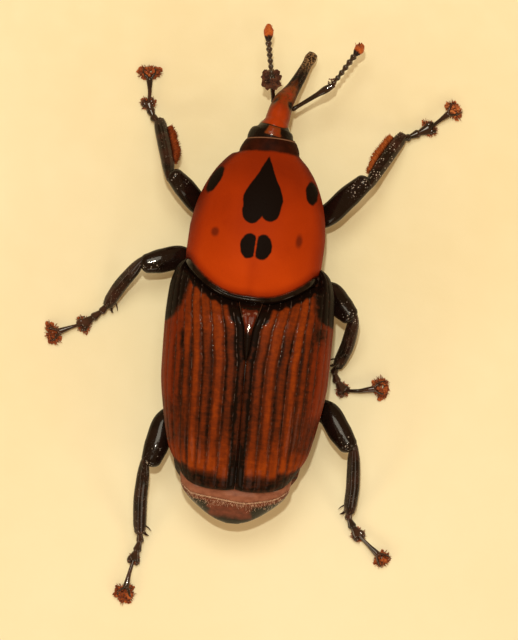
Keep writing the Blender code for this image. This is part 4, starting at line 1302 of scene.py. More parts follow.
# Root of the shaft, the elbow, the end of the beads and the end of the club
FEELERS = {
    "left": ((1.38, 15.62, 4.30), (1.26, 17.40, 5.50), (1.02, 19.98, 4.70), (1.04, 21.10, 4.45)),
    "right": ((2.86, 15.05, 4.10), (5.64, 16.70, 4.50), (7.36, 19.00, 4.00), (7.86, 19.66, 3.85)),
}
SHAFT_WIDTHS = (0.30, 0.56)
BEAD_WIDTH = 0.44
BEADS = 6
CLUB_WIDTH = 0.72
CLUB_BLACK = (0.014, 0.006, 0.004)
FELT_RUST = (0.30, 0.040, 0.006)
FELT_ORANGE = (0.58, 0.16, 0.030)


def shaft_path(root, elbow):
    thin, thick = SHAFT_WIDTHS
    return [(*root, thin * 1.2, thin * 1.2), (*between(root, elbow, 0.12), thin, thin),
            (*between(root, elbow, 0.60), thin * 1.25, thin * 1.2),
            (*between(root, elbow, 0.86), thick, thick * 0.95),
            (*between(root, elbow, 0.99), thick * 0.8, thick * 0.8)]


def bead_path(start, end, k):
    """One bead: a narrow foot, a round shoulder and a short neck into the next bead."""
    low, high = k / BEADS, (k + 1) / BEADS
    wide = BEAD_WIDTH * (1.0 + 0.06 * (k - 2.5))
    foot, middle, crown = (between(start, end, low + (high - low) * share) for share in (0.10, 0.62, 0.94))
    return [(*foot, wide * 0.55, wide * 0.55), (*middle, wide, wide), (*crown, wide * 0.64, wide * 0.64)]


def club_path_of(start, end):
    return [(*start, 0.34, 0.32), (*between(start, end, 0.30), CLUB_WIDTH * 0.84, 0.46),
            (*between(start, end, 0.64), CLUB_WIDTH, 0.52), (*end, CLUB_WIDTH * 0.56, 0.34)]


def club_finish():
    material, tree = new_finish("club_felt", specular=0.1, sheen=0.2)
    grain = swing(tree, speckle(tree, 6.0, detail=5.0), 0.35)
    share = plus(tree, number(tree, "share"), grain)
    felt = two_tones(tree, 4.0, FELT_RUST, FELT_ORANGE, detail=4.0)
    colour = paint(tree, spread(tree, share, 0.42, 0.24), felt, CLUB_BLACK)
    rough = spread(tree, share, 0.22, 0.34, 0.24, 0.85)
    normal = relief(tree, speckle(tree, 16.0, detail=5.0), 0.03)
    return dress(material, colour, rough, normal)


feeler_skin = limb_finish("feeler_black", red=0.9, sparkle=0.5, gloss=0.14, coat=0.35)
bead_skin = limb_finish("bead_black", red=1.6, sparkle=0.3, gloss=0.30, coat=0.60)
club_skin = club_finish()
for side_name, (root, elbow, beads_end, club_end) in FEELERS.items():
    name = "antenna_%s_" % side_name
    build_piece("shaft_" + side_name, [limb_shell(shaft_path(root, elbow), 28, 40)], feeler_skin,
                "black_shell", name + "scape")
    strings = [limb_shell(bead_path(elbow, beads_end, k), 24, 14) for k in range(BEADS)]
    build_piece("beads_" + side_name, strings, bead_skin, "black_shell", name + "funicle")
    build_piece("club_" + side_name, [limb_shell(club_path_of(beads_end, club_end), 40, 30)], club_skin,
                "feeler_club", name + "club")

# %% [markdown]
# ## The legs
#
# Every leg has a hip ball, a thick thigh, a shin with a ridge along its back and a hook and spurs at
# its end, three short toe segments, the third one broad and cleft, and a slender claw joint. They
# are stiff tubes that meet in tight joints, so each is a limb of its own between the same points as the
# solids, and now they close the small gaps that the solids leave.

# %% The points of the legs
# Hip, the thigh's bend, knee, ankle, two toe joints, toe pad, root and end of the claw joint, thigh width
Leg = namedtuple("Leg", "hip bend knee ankle toe1 toe2 pad claw_root claw_end width")
LEGS = {
    "front_left": Leg(
        (-0.85, 6.50, 2.60), (-4.14, 8.16, 3.50), (-6.04, 9.99, 4.70), (-6.99, 14.16, 0.95),
        (-7.45, 14.55, 0.66), (-7.66, 15.04, 0.48), (-7.86, 15.60, 0.26),
        (-7.74, 16.08, 0.42), (-7.76, 17.36, 0.60), 1.58),
    "front_right": Leg(
        (1.40, 6.25, 2.60), (5.30, 7.26, 3.40), (8.18, 9.42, 4.20), (10.83, 13.05, 0.95),
        (11.33, 13.07, 0.66), (12.02, 13.36, 0.48), (12.94, 13.77, 0.26),
        (13.36, 14.10, 0.42), (14.30, 14.80, 0.60), 1.66),
    "mid_left": Leg(
        (-2.10, 2.15, 2.60), (-5.60, 4.18, 3.20), (-8.02, 3.92, 3.60), (-10.76, 0.84, 0.90),
        (-11.24, 0.29, 0.64), (-11.84, -0.14, 0.48), (-12.66, -0.70, 0.26),
        (-13.08, -0.76, 0.42), (-14.40, -1.22, 0.60), 1.78),
    "mid_right": Leg(
        (1.90, 1.95, 2.60), (5.56, 1.50, 3.20), (7.14, -0.08, 4.10), (6.22, -3.66, 0.90),
        (5.88, -4.22, 0.64), (6.06, -4.85, 0.48), (6.54, -5.60, 0.26),
        (6.99, -5.73, 0.42), (8.80, -5.50, 0.60), 1.80),
    "hind_left": Leg(
        (-3.70, -5.90, 2.60), (-6.62, -8.05, 3.05), (-7.82, -10.58, 3.50), (-8.48, -15.90, 0.90),
        (-8.46, -16.66, 0.64), (-8.66, -17.34, 0.48), (-8.92, -18.06, 0.26),
        (-9.12, -18.56, 0.42), (-9.50, -20.08, 0.60), 1.82),
    "hind_right": Leg(
        (2.55, -6.30, 2.60), (5.42, -7.28, 3.20), (7.08, -9.52, 3.90), (7.02, -14.42, 0.90),
        (6.94, -14.98, 0.64), (7.20, -15.60, 0.48), (7.66, -16.28, 0.26),
        (8.06, -16.68, 0.42), (9.05, -17.68, 0.60), 1.76),
}
COXA_RADIUS = 1.10
SHIN_WIDTH = 1.00
SHIN_BOW = {"front": 0.0, "mid": 0.26, "hind": 0.20}      # the middle and hind shins bend outwards
KNEE_LOBE = 0.26       # the thigh's end reaches past the knee on the body's side
KNEE_OUT = 0.15        # and the shin springs from its outer corner
# Share of the shin's length, then its share of the bow, its rise, its share of the width and its depth
SHIN_STATIONS = ((0.0, 0.0, 0.0, 0.56, 0.74), (0.07, 0.3, 0.03, 0.70, 0.80), (0.25, 0.8, 0.10, 0.94, 0.80),
                 (0.6, 1.0, 0.10, 1.02, 0.78), (0.9, 0.3, 0.02, 0.98, 0.86), (1.0, 0.0, 0.0, 0.84, 0.80))


def inner_side(name):
    """The level direction square to the leg's shin that points to the body's side."""
    way = (1 if name.endswith("left") else -1) * (1 if name.startswith("front") else -1)
    return rightward(heading(LEGS[name].knee, LEGS[name].ankle)) * way


def thigh_path(name):
    """The thigh's stations, from inside the hip ball to the lobe past the knee."""
    hip, bend, knee = LEGS[name][:3]
    wide = LEGS[name].width
    lobe = Vector(knee) + inner_side(name) * KNEE_LOBE
    low = (hip[0] + 0.45 * (bend[0] - hip[0]) / abs(bend[0] - hip[0]), hip[1], hip[2] - 0.45)
    return [(*low, 0.95, 0.95), (*between(low, bend, 0.5), wide * 0.80, 1.05), (*bend, wide, 1.22),
            (*between(bend, lobe, 0.55, 0.05), wide, 1.25), (*lobe, wide * 0.82, 1.10)]


def shin_path(name):
    """The shin's stations, from the knee's outer corner to the ankle."""
    pair, side_name = name.split("_")
    bow = SHIN_BOW[pair] * SIDES[side_name]
    path = []
    for share, out, rise, width, depth in SHIN_STATIONS:
        place = between(LEGS[name].knee, LEGS[name].ankle, share, rise)
        place -= inner_side(name) * (KNEE_OUT * step_up(0.4, 0.0, share))
        path.append((place.x + bow * out, place.y, place.z, SHIN_WIDTH * width, depth))
    return path


def shin_form(run, angle):
    """A ridge along the back of the shin with a shallow furrow beside it, and rows of tiny teeth below."""
    grow = 0.045 * hill(round_gap(angle, math.radians(72)), 0.0, 0.16)
    grow -= 0.035 * hill(round_gap(angle, math.radians(100)), 0.0, 0.18)
    grow += 0.020 * hill(round_gap(angle, math.radians(140)), 0.0, 0.12)
    teeth = 0.5 + 0.5 * math.cos(2 * math.pi * run / 0.27)
    return grow + 0.035 * teeth * hill(round_gap(angle, math.radians(-60)), 0.0, 0.2)


def spike_shell(root, tip, width, bow):
    """A curved spine or claw, tapered to a point."""
    middle = between(root, tip, 0.55) + bow
    waist = width * 0.72
    return limb_shell([(*root, width, width), (*middle, waist, waist), (*tip, 0.03, 0.03)], 12, 14)


# %% Hips, thighs and shins
thigh_skin = limb_finish("thigh_black", red=0.35, sparkle=1.2, coat=0.11)
plain_shin = limb_finish("shin_black", red=1.6, sparkle=1.2, gloss=0.20, dust_and_glint_specks=0.15)
# The front right shin carries many pale dots, partly dust and partly painted glints.
shin_with_dust_and_glints = limb_finish("shin_dust_and_glints", red=1.6, sparkle=1.2, gloss=0.20, dust_and_glint_specks=0.9)
for name, leg in LEGS.items():
    node = "leg_%s_" % name
    build_piece("hip_" + name, [ball_shell(leg.hip, [COXA_RADIUS] * 3)], thigh_skin, "black_shell",
                node + "coxa")
    path = thigh_path(name)
    thigh_length = limb_rows(path)[-1][0]

    def thigh_marks(run, angle):
        return {"pitted": step_up(0.68 * thigh_length, 0.92 * thigh_length, run) * math.sin(angle)}

    build_piece("thigh_" + name, [limb_shell(path, 44, 70, None, thigh_marks)], thigh_skin, "black_shell",
                node + "femur")
    path = shin_path(name)
    shin_length = limb_rows(path)[-1][0]

    def shin_marks(run, angle):
        ends = max(hill(run, 0.0, 0.7), 0.8 * step_up(shin_length - 0.9, shin_length, run))
        return {"pitted": max(ends, 0.35 * hill(angle, 1.9, 0.5))}

    parts = [limb_shell(path, 48, 90, shin_form, shin_marks)]
    along = heading(leg.knee, leg.ankle)
    inner = inner_side(name)
    spread_out = 0.10 if name.startswith("front") else 0.50      # the front hooks lie under the shin's end
    hook_root = Vector(leg.ankle) + inner * 0.22 - UP * 0.08
    hook_tip = hook_root + along * 0.40 + inner * spread_out - UP * 0.18
    parts.append(spike_shell(hook_root, hook_tip, 0.26, along * 0.10))
    spur_root = Vector(leg.ankle) - along * 0.48 + inner * 0.30
    spur_tip = spur_root + along * 0.46 + inner * spread_out * 1.1 - UP * 0.12
    parts.append(spike_shell(spur_root, spur_tip, 0.13, inner * 0.05))
    shin_skin = shin_with_dust_and_glints if name == "front_right" else plain_shin
    build_piece("shin_" + name, parts, shin_skin, "black_shell", node + "tibia")

# %% [markdown]
# The toes carry most of the weight on a broad cleft pad with a brush sole, and two claws spread from
# the end of the claw joint. Here crumbs cling to the pads and the claws, so the claws show only as
# dark points among them. The crumbs are many small rough lumps, each with radii of its own.

# %% Toes, claws and crumbs
LOBE_RADII = (0.25, 0.34, 0.22)      # of each half of the cleft pad
LOBE_HEIGHT = 0.265                  # the least height of its middle, which keeps it off the floor


def toe_shells(leg):
    """The three short segments, the two lobes of the third, and the claw joint."""
    ankle, toe1, toe2, pad, claw_root, claw_end = leg[3:9]
    forward = heading(toe2, pad)
    across = rightward(forward)
    shells = [
        limb_shell([(*ankle, 0.36, 0.34), (*between(ankle, toe1, 0.5), 0.44, 0.42),
                    (*toe1, 0.58, 0.52)], 24, 16),
        limb_shell([(*between(toe1, toe2, 0.12), 0.34, 0.34), (*between(toe1, toe2, 0.6), 0.48, 0.44),
                    (*toe2, 0.64, 0.54)], 24, 16),
        limb_shell([(*between(toe2, pad, 0.1), 0.38, 0.38), (*between(toe2, pad, 0.55), 0.64, 0.46),
                    (*between(toe2, pad, 0.95, 0.06), 0.84, 0.44)], 28, 18)]
    turn = Vector((0, 1, 0)).rotation_difference(forward).to_matrix()
    for way in (-1, 1):
        lobe = Vector(pad) + forward * 0.12 + across * (0.27 * way)
        lobe.z = max(lobe.z, LOBE_HEIGHT)
        shells.append(ball_shell(lobe, LOBE_RADII, turn, 24, 14))
    shells.append(limb_shell([(*between(pad, claw_root, 0.3, 0.08), 0.24, 0.24),
                              (*between(claw_root, claw_end, 0.35, 0.05), 0.29, 0.29),
                              (*between(claw_root, claw_end, 0.8, 0.02), 0.42, 0.38),
                              (*claw_end, 0.48, 0.42)], 24, 28))
    return shells


def claw_shells(leg):
    """Two curved claws that spread from the end of the claw joint down to the floor."""
    ahead = heading(leg.claw_root, leg.claw_end)
    across = rightward(ahead)
    heart = Vector(leg.claw_end) + ahead * 0.10
    shells = []
    for way in (-1, 1):
        tip = Vector(leg.claw_end) + ahead * 1.02 + across * (0.50 * way)
        tip.z = 0.10
        bow = UP * 0.16 + across * (0.10 * way)
        shells.append(spike_shell(heart + across * (0.12 * way), tip, 0.22, bow))
    return shells


def crumb_shell(rng, centre, size):
    """A rough little lump."""
    spin = Matrix.Rotation(rng.uniform(0, 6.28), 3, "Z") @ Matrix.Rotation(rng.uniform(0, 3.14), 3, "X")
    radii = [size * rng.uniform(0.6, 1.25) for _ in range(3)]
    rough = {}

    def dent(out):
        key = (round(out.x, 2), round(out.y, 2), round(out.z, 2))
        return rough.setdefault(key, rng.uniform(-0.14, 0.20))

    return ball_shell(centre, radii, spin, 8, 6, dent)


def heap(rng, centre, reach, count, size, ahead):
    """Crumbs heaped round a centre; reach is along, across and upwards in mm."""
    across = rightward(ahead)
    shells = []
    for _ in range(count):
        angle = 2 * math.pi * rng.random()
        ragged = 1.0 + 0.16 * math.sin(3 * angle + centre[0]) + 0.10 * math.sin(7 * angle)
        out = rng.random() ** 0.45 * ragged
        grain = size * rng.uniform(0.55, 1.25)
        spot = Vector(centre) + ahead * (reach[0] * out * math.cos(angle))
        spot += across * (reach[1] * out * math.sin(angle))
        spot.z = max(grain * 1.45, rng.uniform(0.1, 1.0) * reach[2] * (1.35 - out))
        shells.append(crumb_shell(rng, spot, grain))
    return shells


# Place on the ramp, then the colour there
CRUMB_TONES = ((0.30, (0.080, 0.020, 0.006)), (0.5, (0.250, 0.062, 0.018)), (0.72, (0.460, 0.150, 0.045)))


def crumb_finish(name, tint):
    """Rusty brown grains; tint makes their red, green and blue brighter or darker."""
    material, tree = new_finish(name, specular=0.12, sheen=0.1)
    stops = [(place, [channel * share for channel, share in zip(tone, tint)]) for place, tone in CRUMB_TONES]
    colour = shades(tree, speckle(tree, 2.6, detail=5.0), *stops)
    rough = uneven(tree, 5.0, 0.50, 0.85)
    return dress(material, colour, rough, relief(tree, speckle(tree, 14.0, detail=5.0), 0.03))


# Reach of the crumbs along, across and up, and their number: at the claws, then at the pad
CRUMBS = {
    "front_left": ((0.50, 0.84, 0.60), 190, (0.46, 0.54, 0.42), 80),
    "front_right": ((0.46, 0.72, 0.60), 170, (0.48, 0.64, 0.42), 80),
    "mid_left": ((0.50, 0.82, 0.60), 180, (0.48, 0.66, 0.40), 80),
    "mid_right": ((0.56, 0.80, 0.70), 210, (0.46, 0.52, 0.42), 70),
    "hind_left": ((0.66, 0.74, 0.62), 200, (0.34, 0.36, 0.32), 20),
    "hind_right": ((0.46, 0.60, 0.55), 150, (0.50, 0.46, 0.42), 50),
}
CRUMB_SIZE = 0.095
CLAW_AHEAD = 0.55       # the middle of the crumbs at the claws lies ahead of the claw joint's end
crumb_skin = crumb_finish("rusty_crumbs", (1.40, 1.26, 1.10))
pale_crumbs = crumb_finish("pale_crumbs", (1.9, 2.2, 2.3))
claw_skin = limb_finish("claw_black", red=2.2, sparkle=0.4, coat=0.4)
for name, leg in LEGS.items():
    node = "leg_%s_" % name
    build_piece("toes_" + name, toe_shells(leg), claw_skin, "black_shell", node + "tarsus")
    build_piece("claws_" + name, claw_shells(leg), claw_skin, "black_shell", node + "claws")
    rng = random.Random("crumbs " + name)
    ahead = heading(leg.claw_root, leg.claw_end)
    foot_reach, foot_count, pad_reach, pad_count = CRUMBS[name]
    claws = Vector(leg.claw_end) + ahead * CLAW_AHEAD
    crumbs = heap(rng, claws, foot_reach, foot_count, CRUMB_SIZE, ahead)
    crumbs += heap(rng, leg.pad, pad_reach, pad_count, CRUMB_SIZE * 0.85, ahead)
    build_piece("crumbs_" + name, crumbs, pale_crumbs if name == "front_right" else crumb_skin, "foot")

# %% [markdown]
# The photographed animal also carries a loose clump of crumbs round the shaft of its left feeler, and a
# few on the elbow and the club of the right one. They hang there, so each clump is heaped round a point
# of the feeler and not on the floor.

# %% Crumbs on the feelers
# For each clump: its middle, its reach each way, the number of crumbs and their size
FEELER_CLUMPS = {
    "feeler_left": ((1.22, 17.15, 5.30), (0.80, 0.82, 0.36), 900, 0.078),
    "elbow_right": ((5.66, 16.90, 4.50), (0.34, 0.40, 0.30), 60, 0.062),
    "club_right": ((7.67, 19.56, 3.95), (0.40, 0.36, 0.30), 80, 0.052),
}
dull_crumbs = crumb_finish("dull_crumbs", (0.36, 0.48, 0.80))
for name, (middle, reach, count, size) in FEELER_CLUMPS.items():
    rng = random.Random(name)
    grains = []
    for _ in range(count):
        angle = 2 * math.pi * rng.random()
        out = rng.random() ** 0.55 * (0.90 - 0.08 * math.cos(4 * angle) + 0.08 * math.sin(9 * angle))
        spot = Vector((reach[0] * out * math.cos(angle), reach[1] * out * math.sin(angle),
                       reach[2] * rng.uniform(-1.0, 1.0) * (1.1 - out)))
        grains.append(crumb_shell(rng, Vector(middle) + spot, size * rng.uniform(0.5, 1.3)))
    build_piece("crumbs_" + name, grains, crumb_skin if name.startswith("club") else dull_crumbs, "foot")

# %% [markdown]
# ## Bristles, brushes and fringes
#
# A weevil looks bare, yet each front shin carries a brush, a pale fringe crosses the tail plate, the
# feet and shins are bristly and the beak's tip is dusted with short hairs. Hair curves don't survive an
# export, so every tuft is a small closed blade: a flat cross-section that tapers from a root
# inside the skin to a point. Each coat keeps a map on which a tuft is a tiny patch at its root's
# place on the unrolled limb or plate.

# %% One tuft and one coat
PATCH = 0.003
MAP_EDGE = 0.01
TUFT_STATIONS = (0.0, 0.35, 0.7)
ROOT_DEPTH = 0.04


def tuft(root, out, lie, length, width, bend, spot):
    """A flat tapered blade: it starts inside the skin at root, runs along lie and curves by bend."""
    across = lie.cross(out)
    across = (across if across.length > 1e-4 else lie.cross(Vector((0.3, 0.5, 0.8)))).normalized()
    flat = across.cross(lie).normalized()
    start = root - out * ROOT_DEPTH
    points, spots = [], []
    for share in TUFT_STATIONS:
        centre = start + lie * (length * share) + bend * (length * share ** 2)
        wide = width / 2 * (1 - share ** 2) ** 0.5 * (0.75 + 0.5 * min(share * 2, 1.0))
        for a, b in ((1, 0), (0, 0.4), (-1, 0), (0, -0.4)):
            points.append(centre + across * (wide * a) + flat * (wide * b))
            spots.append((spot[0] + PATCH * 0.5 * a, spot[1] + PATCH * (share - 0.5)))
    points.append(start + lie * length + bend * length)
    spots.append((spot[0], spot[1] + PATCH * 0.5))
    faces = [(3, 2, 1, 0)]
    last = 4 * (len(TUFT_STATIONS) - 1)
    for k in range(0, last, 4):
        faces += [(k + j, k + (j + 1) % 4, k + 4 + (j + 1) % 4, k + 4 + j) for j in range(4)]
    faces += [(last + j, last + (j + 1) % 4, last + 4) for j in range(4)]
    shares = [share for share in TUFT_STATIONS for _ in range(4)] + [1.0]
    return points, faces, spots, shares


def coat(name, tufts, finish, slot):
    """One mesh of closed tufts with their map and their shares from root to tip."""
    points, faces, spots, shares, tones = [], [], [], [], []
    rng = random.Random(name)
    for new_points, new_faces, new_spots, new_shares in tufts:
        faces += [tuple(i + len(points) for i in face) for face in new_faces]
        points += new_points
        spots += new_spots
        shares += new_shares
        tones += [rng.random()] * len(new_points)
    mesh = bpy.data.meshes.new(name)
    mesh.from_pydata([point * MM for point in points], [], faces)
    corner_points = np.empty(len(mesh.loops), dtype=int)
    mesh.loops.foreach_get("vertex_index", corner_points)
    layer = mesh.uv_layers.new(name="OFBake")
    layer.data.foreach_set("uv", np.array(spots, dtype=np.float32)[corner_points].ravel())
    keep_numbers(mesh, {"share": shares, "tone": tones})
    add_piece(name, mesh, finish)
    print(name, len(tufts), "tufts", len(faces), "faces")


def hair_finish(name, root_colour, tip_colour, other_tip, sheen=0.3):
    """A hair colour that runs from root to tip, a little different from tuft to tuft."""
    material, tree = new_finish(name, specular=0.14, sheen=sheen)
    tip = blend(tree, number(tree, "tone"), (*tip_colour, 1.0), (*other_tip, 1.0))
    share = plus(tree, number(tree, "share"), times(tree, speckle(tree, 6.0), 0.2))
    colour = blend(tree, spread(tree, share, 0.05, 0.75), (*root_colour, 1.0), tip)
    rough = uneven(tree, 8.0, 0.45, 0.65)
    return dress(material, colour, rough, relief(tree, speckle(tree, 30.0), 0.004))


def on_limb(rows, run, angle):
    """Root, outward direction and ahead direction of a tuft on a limb."""
    here = limb_frame(rows, run)
    _, ahead, side, lift, wide, deep = here
    out = (side * (math.cos(angle) / wide) + lift * (math.sin(angle) / deep)).normalized()
    return limb_point(here, angle), out, ahead


def on_map(across, along):
    """A place on the map from two shares between 0 and 1, so that no patch reaches past its edges."""
    return MAP_EDGE + (1 - 2 * MAP_EDGE) * across, 2 * MAP_EDGE + (1 - 4 * MAP_EDGE) * along


def unrolled(cell, cells, share, angle):
    """The place on the map: one column for each limb, its length upwards and its round across."""
    return on_map((cell + 0.05 + 0.9 * (angle / (2 * math.pi) % 1.0)) / cells, share)


# %% The brush on each front shin
# Where the brush starts and ends on the shin and how far it reaches
BRUSHES = {"left": (0.28, 0.87, 0.66), "right": (0.22, 0.90, 0.58)}
BRUSH_LOCKS = 17
BRUSH_TUFTS = 1700
# The colour at the roots and the two colours at the tips
BRUSH_RUST = ((0.075, 0.013, 0.003), (0.36, 0.070, 0.012), (0.20, 0.036, 0.006))
BRUSH_ORANGE = ((0.100, 0.020, 0.004), (0.52, 0.145, 0.030), (0.32, 0.065, 0.010))
brush_skins = {"left": hair_finish("brush_rust", *BRUSH_RUST, sheen=0.0),
               "right": hair_finish("brush_orange", *BRUSH_ORANGE, sheen=0.0)}
for side_name, side in SIDES.items():
    rows = limb_rows(shin_path("front_" + side_name))
    length = rows[-1][0]
    rng = random.Random("brush " + side_name)
    first, last, brush_reach = BRUSHES[side_name]
    locks = [rng.uniform(0.74, 1.12) for _ in range(BRUSH_LOCKS)]
    tufts = []
    for k in range(BRUSH_TUFTS):
        place = (k + rng.random()) / BRUSH_TUFTS
        share = first + (last - first) * place
        lock, off_centre = divmod(place * BRUSH_LOCKS, 1.0)
        off_centre -= 0.5
        tilt = rng.uniform(-0.35, 0.75)
        angle = (math.pi + tilt) if side > 0 else -tilt
        root, out, ahead = on_limb(rows, length * share, angle)
        swell = min(step_up(-0.12, 0.22, place), step_up(1.12, 0.80, place))
        inward = (out - UP * (0.6 * out.z)).normalized()
        lean = 0.10 + rng.uniform(-0.10, 0.14) - 0.16 * off_centre
        lie = (inward + ahead * lean - UP * rng.uniform(0.0, 0.12)).normalized()
        reach = brush_reach * (0.50 + 0.50 * swell) * rng.uniform(0.66, 1.10)
        reach *= locks[min(int(lock), BRUSH_LOCKS - 1)] * (1.0 - 0.9 * off_centre ** 2)
        tufts.append(tuft(root, out, lie, reach + ROOT_DEPTH, rng.uniform(0.035, 0.065),
                          ahead * rng.uniform(-0.06, 0.10), unrolled(0, 1, share, angle)))
    coat("brush_" + side_name, tufts, brush_skins[side_name], "foot")

# %% Bristles of the shins, toes and feet
SHIN_BRISTLES = 130
FOOT_BRISTLES = 170
PAD_BRISTLES = 120
BRISTLE_BROWN = ((0.060, 0.022, 0.012), (0.30, 0.16, 0.085), (0.11, 0.045, 0.022))
BRISTLE_RUST = ((0.075, 0.018, 0.008), (0.34, 0.085, 0.024), (0.19, 0.045, 0.012))
bristle_skin = hair_finish("bristle_brown", *BRISTLE_BROWN)
rusty_skin = hair_finish("bristle_rust", *BRISTLE_RUST, sheen=0.1)
shin_tufts, foot_tufts = [], []
for cell, (name, leg) in enumerate(LEGS.items()):
    rng = random.Random("bristles " + name)
    rows = limb_rows(shin_path(name))
    length = rows[-1][0]
    for _ in range(SHIN_BRISTLES):
        share = min(0.08 + 0.92 * rng.random() ** 0.45, 1.0)
        angle = rng.uniform(0, 2 * math.pi)
        root, out, ahead = on_limb(rows, length * share, angle)
        stand = rng.uniform(0.15, 0.45) if share < 0.9 else rng.uniform(0.3, 0.9)
        lie = (ahead + out * stand).normalized()
        reach = rng.uniform(0.10, 0.24) + 0.12 * step_up(0.85, 1.0, share)
        bend = out * rng.uniform(-0.2, 0.1)
        shin_tufts.append(tuft(root, out, lie, reach, 0.020, bend, unrolled(cell, len(LEGS), share, angle)))
    ahead = heading(leg.claw_root, leg.claw_end)
    across = rightward(ahead)
    foot_reach, _, pad_reach, _ = CRUMBS[name]
    claws = Vector(leg.claw_end) + ahead * CLAW_AHEAD
    for centre, reach, count, first in ((claws, foot_reach, FOOT_BRISTLES, 0.5),
                                        (Vector(leg.pad), pad_reach, PAD_BRISTLES, 0.0)):
        for _ in range(count):
            angle = rng.uniform(0, 2 * math.pi)
            out = ahead * math.cos(angle) + across * math.sin(angle) + UP * rng.uniform(-0.1, 0.5)
            out.normalize()
            share = rng.uniform(0.35, 0.95)
            root = centre + ahead * (reach[0] * share * math.cos(angle))
            root += across * (reach[1] * share * math.sin(angle))
            root.z = rng.uniform(0.10, 0.45)
            bend = Vector((rng.uniform(-0.3, 0.3), rng.uniform(-0.3, 0.3), rng.uniform(-0.05, 0.2)))
            foot_tufts.append(tuft(root, out, out, rng.uniform(0.14, 0.34), rng.uniform(0.03, 0.06), bend,
                                   unrolled(cell, len(LEGS), first + 0.5 * share, angle)))
coat("shin_bristles", shin_tufts, bristle_skin, "foot")
coat("foot_bristles", foot_tufts, rusty_skin, "foot")

# %% The fringe and the fine hairs of the tail plate
FRINGE_HAIRS = 1500
BAND_HAIRS = 1400
STRAY_HAIRS = 420
HAIR_PALE = ((0.34, 0.17, 0.10), (0.82, 0.60, 0.44), (0.62, 0.40, 0.27))
HAIR_DULL = ((0.17, 0.060, 0.035), (0.46, 0.26, 0.19), (0.30, 0.15, 0.11))
pale_skin = hair_finish("hair_pale", *HAIR_PALE, sheen=0.5)
dull_skin = hair_finish("hair_dull", *HAIR_DULL, sheen=0.4)


def tail_root(x, y):
    """The tail plate's point above a place, its outward direction and its angle."""
    half = sizes_at(TAIL_PLATE, y)[0]
    share = min(abs(x) / half, 0.998) ** (SHIELD_TOP / 2)
    angle = math.acos(math.copysign(share, x))
    root = tail_point(angle, y)
    behind, beside = tail_point(angle, y - 0.05), tail_point(angle - 0.02, y)
    out = (behind - root).cross(beside - root).normalized()
    return root, (out if out.z > 0 else -out), angle


def tail_tuft(rng, x, y, length, width, lift):
    root, out, angle = tail_root(x, y)
    lie = Vector((0.12 * x + rng.uniform(-0.35, 0.35), -1.0, 0.0)) + out * lift
    lie = (lie - out * (lie.dot(out) - lift)).normalized()
    turn = HIND_AXIS.to_3x3()
    bend = turn @ Vector((rng.uniform(-0.2, 0.2), 0.0, rng.uniform(-0.15, 0.05)))
    spot = on_map(angle / math.pi, (y - TAIL_PLATE[0][0]) / 3.6)
    return tuft(HIND_AXIS @ root, turn @ out, turn @ lie, length + ROOT_DEPTH, width, bend, spot)


rng = random.Random("tail")
fringe, fine = [], []
for _ in range(FRINGE_HAIRS):
    x = rng.uniform(-3.95, 4.05)
    y = sizes_at(TAIL_STEP, x)[0] + rng.gauss(0.0, 0.022)
    fringe.append(tail_tuft(rng, x, y, rng.uniform(0.07, 0.15), 0.020, rng.uniform(0.15, 0.5)))
for _ in range(STRAY_HAIRS):
    x = rng.uniform(-3.5, 3.6)
    y = sizes_at(TAIL_STEP, x)[0] - 0.04 - abs(rng.gauss(0.0, 0.26)) * (1.0 if abs(x) > 0.9 else 0.5)
    if abs(x) < sizes_at(TAIL_PLATE, y)[0] * 0.97:
        fringe.append(tail_tuft(rng, x, y, rng.uniform(0.12, 0.30), 0.016, rng.uniform(0.1, 0.4)))
for _ in range(BAND_HAIRS):
    x = rng.uniform(-3.9, 4.0)
    y = sizes_at(TAIL_STEP, x)[0] + rng.uniform(0.03, 0.75)
    if abs(x) < sizes_at(TAIL_PLATE, y)[0] * 0.98:
        fine.append(tail_tuft(rng, x, y, rng.uniform(0.06, 0.12), 0.018, rng.uniform(0.05, 0.3)))
coat("tail_fringe", fringe, pale_skin, "maroon_shell")
coat("tail_fine_hairs", fine, dull_skin, "maroon_shell")

# %% The dust of hairs on the beak, and the felt of the clubs
BEAK_HAIRS = 520
FELT_HAIRS = 420
HAIR_FELT = ((0.30, 0.050, 0.012), (0.66, 0.22, 0.06), (0.44, 0.090, 0.020))
rng = random.Random("beak")
hairs = []
length = head_rows[-1][0]
for _ in range(BEAK_HAIRS):
    share = 0.60 + 0.40 * rng.random() ** 0.6
    angle = rng.uniform(0, 2 * math.pi)
    root, out, ahead = on_limb(head_rows, length * share, angle)
    lie = (ahead + out * rng.uniform(0.1, 0.5)).normalized()
    hairs.append(tuft(root, out, lie, rng.uniform(0.07, 0.13), 0.016, out * rng.uniform(-0.3, 0.0),
                      unrolled(0, 1, share, angle)))
coat("beak_hairs", hairs, dull_skin, "black_shell")
felt = []
for cell, (_, _, beads_end, club_end) in enumerate(FEELERS.values()):
    rows = limb_rows(club_path_of(beads_end, club_end))
    for _ in range(FELT_HAIRS):
        share = 0.30 + 0.70 * rng.random()
        angle = rng.uniform(0, 2 * math.pi)
        root, out, ahead = on_limb(rows, rows[-1][0] * share, angle)
        lie = (ahead * rng.uniform(0.2, 1.0) + out * rng.uniform(0.3, 1.0)).normalized()
        felt.append(tuft(root, out, lie, rng.uniform(0.06, 0.12), 0.024, ahead * 0.1,
                         unrolled(cell, len(FEELERS), share, angle)))
felt_skin = hair_finish("felt_orange", *HAIR_FELT)
coat("club_felt_hairs", felt, felt_skin, "feeler_club")

# %% [markdown]
# ## Floor, light and camera
#
# The photograph was taken straight down, with a soft flash from the head's side, on a pale warm floor.
# A plain cream floor, one large soft light beyond the head, three fills and a small bright light beside
# the camera give the same open shadows and small sparks on the gloss, with nothing that names a room.

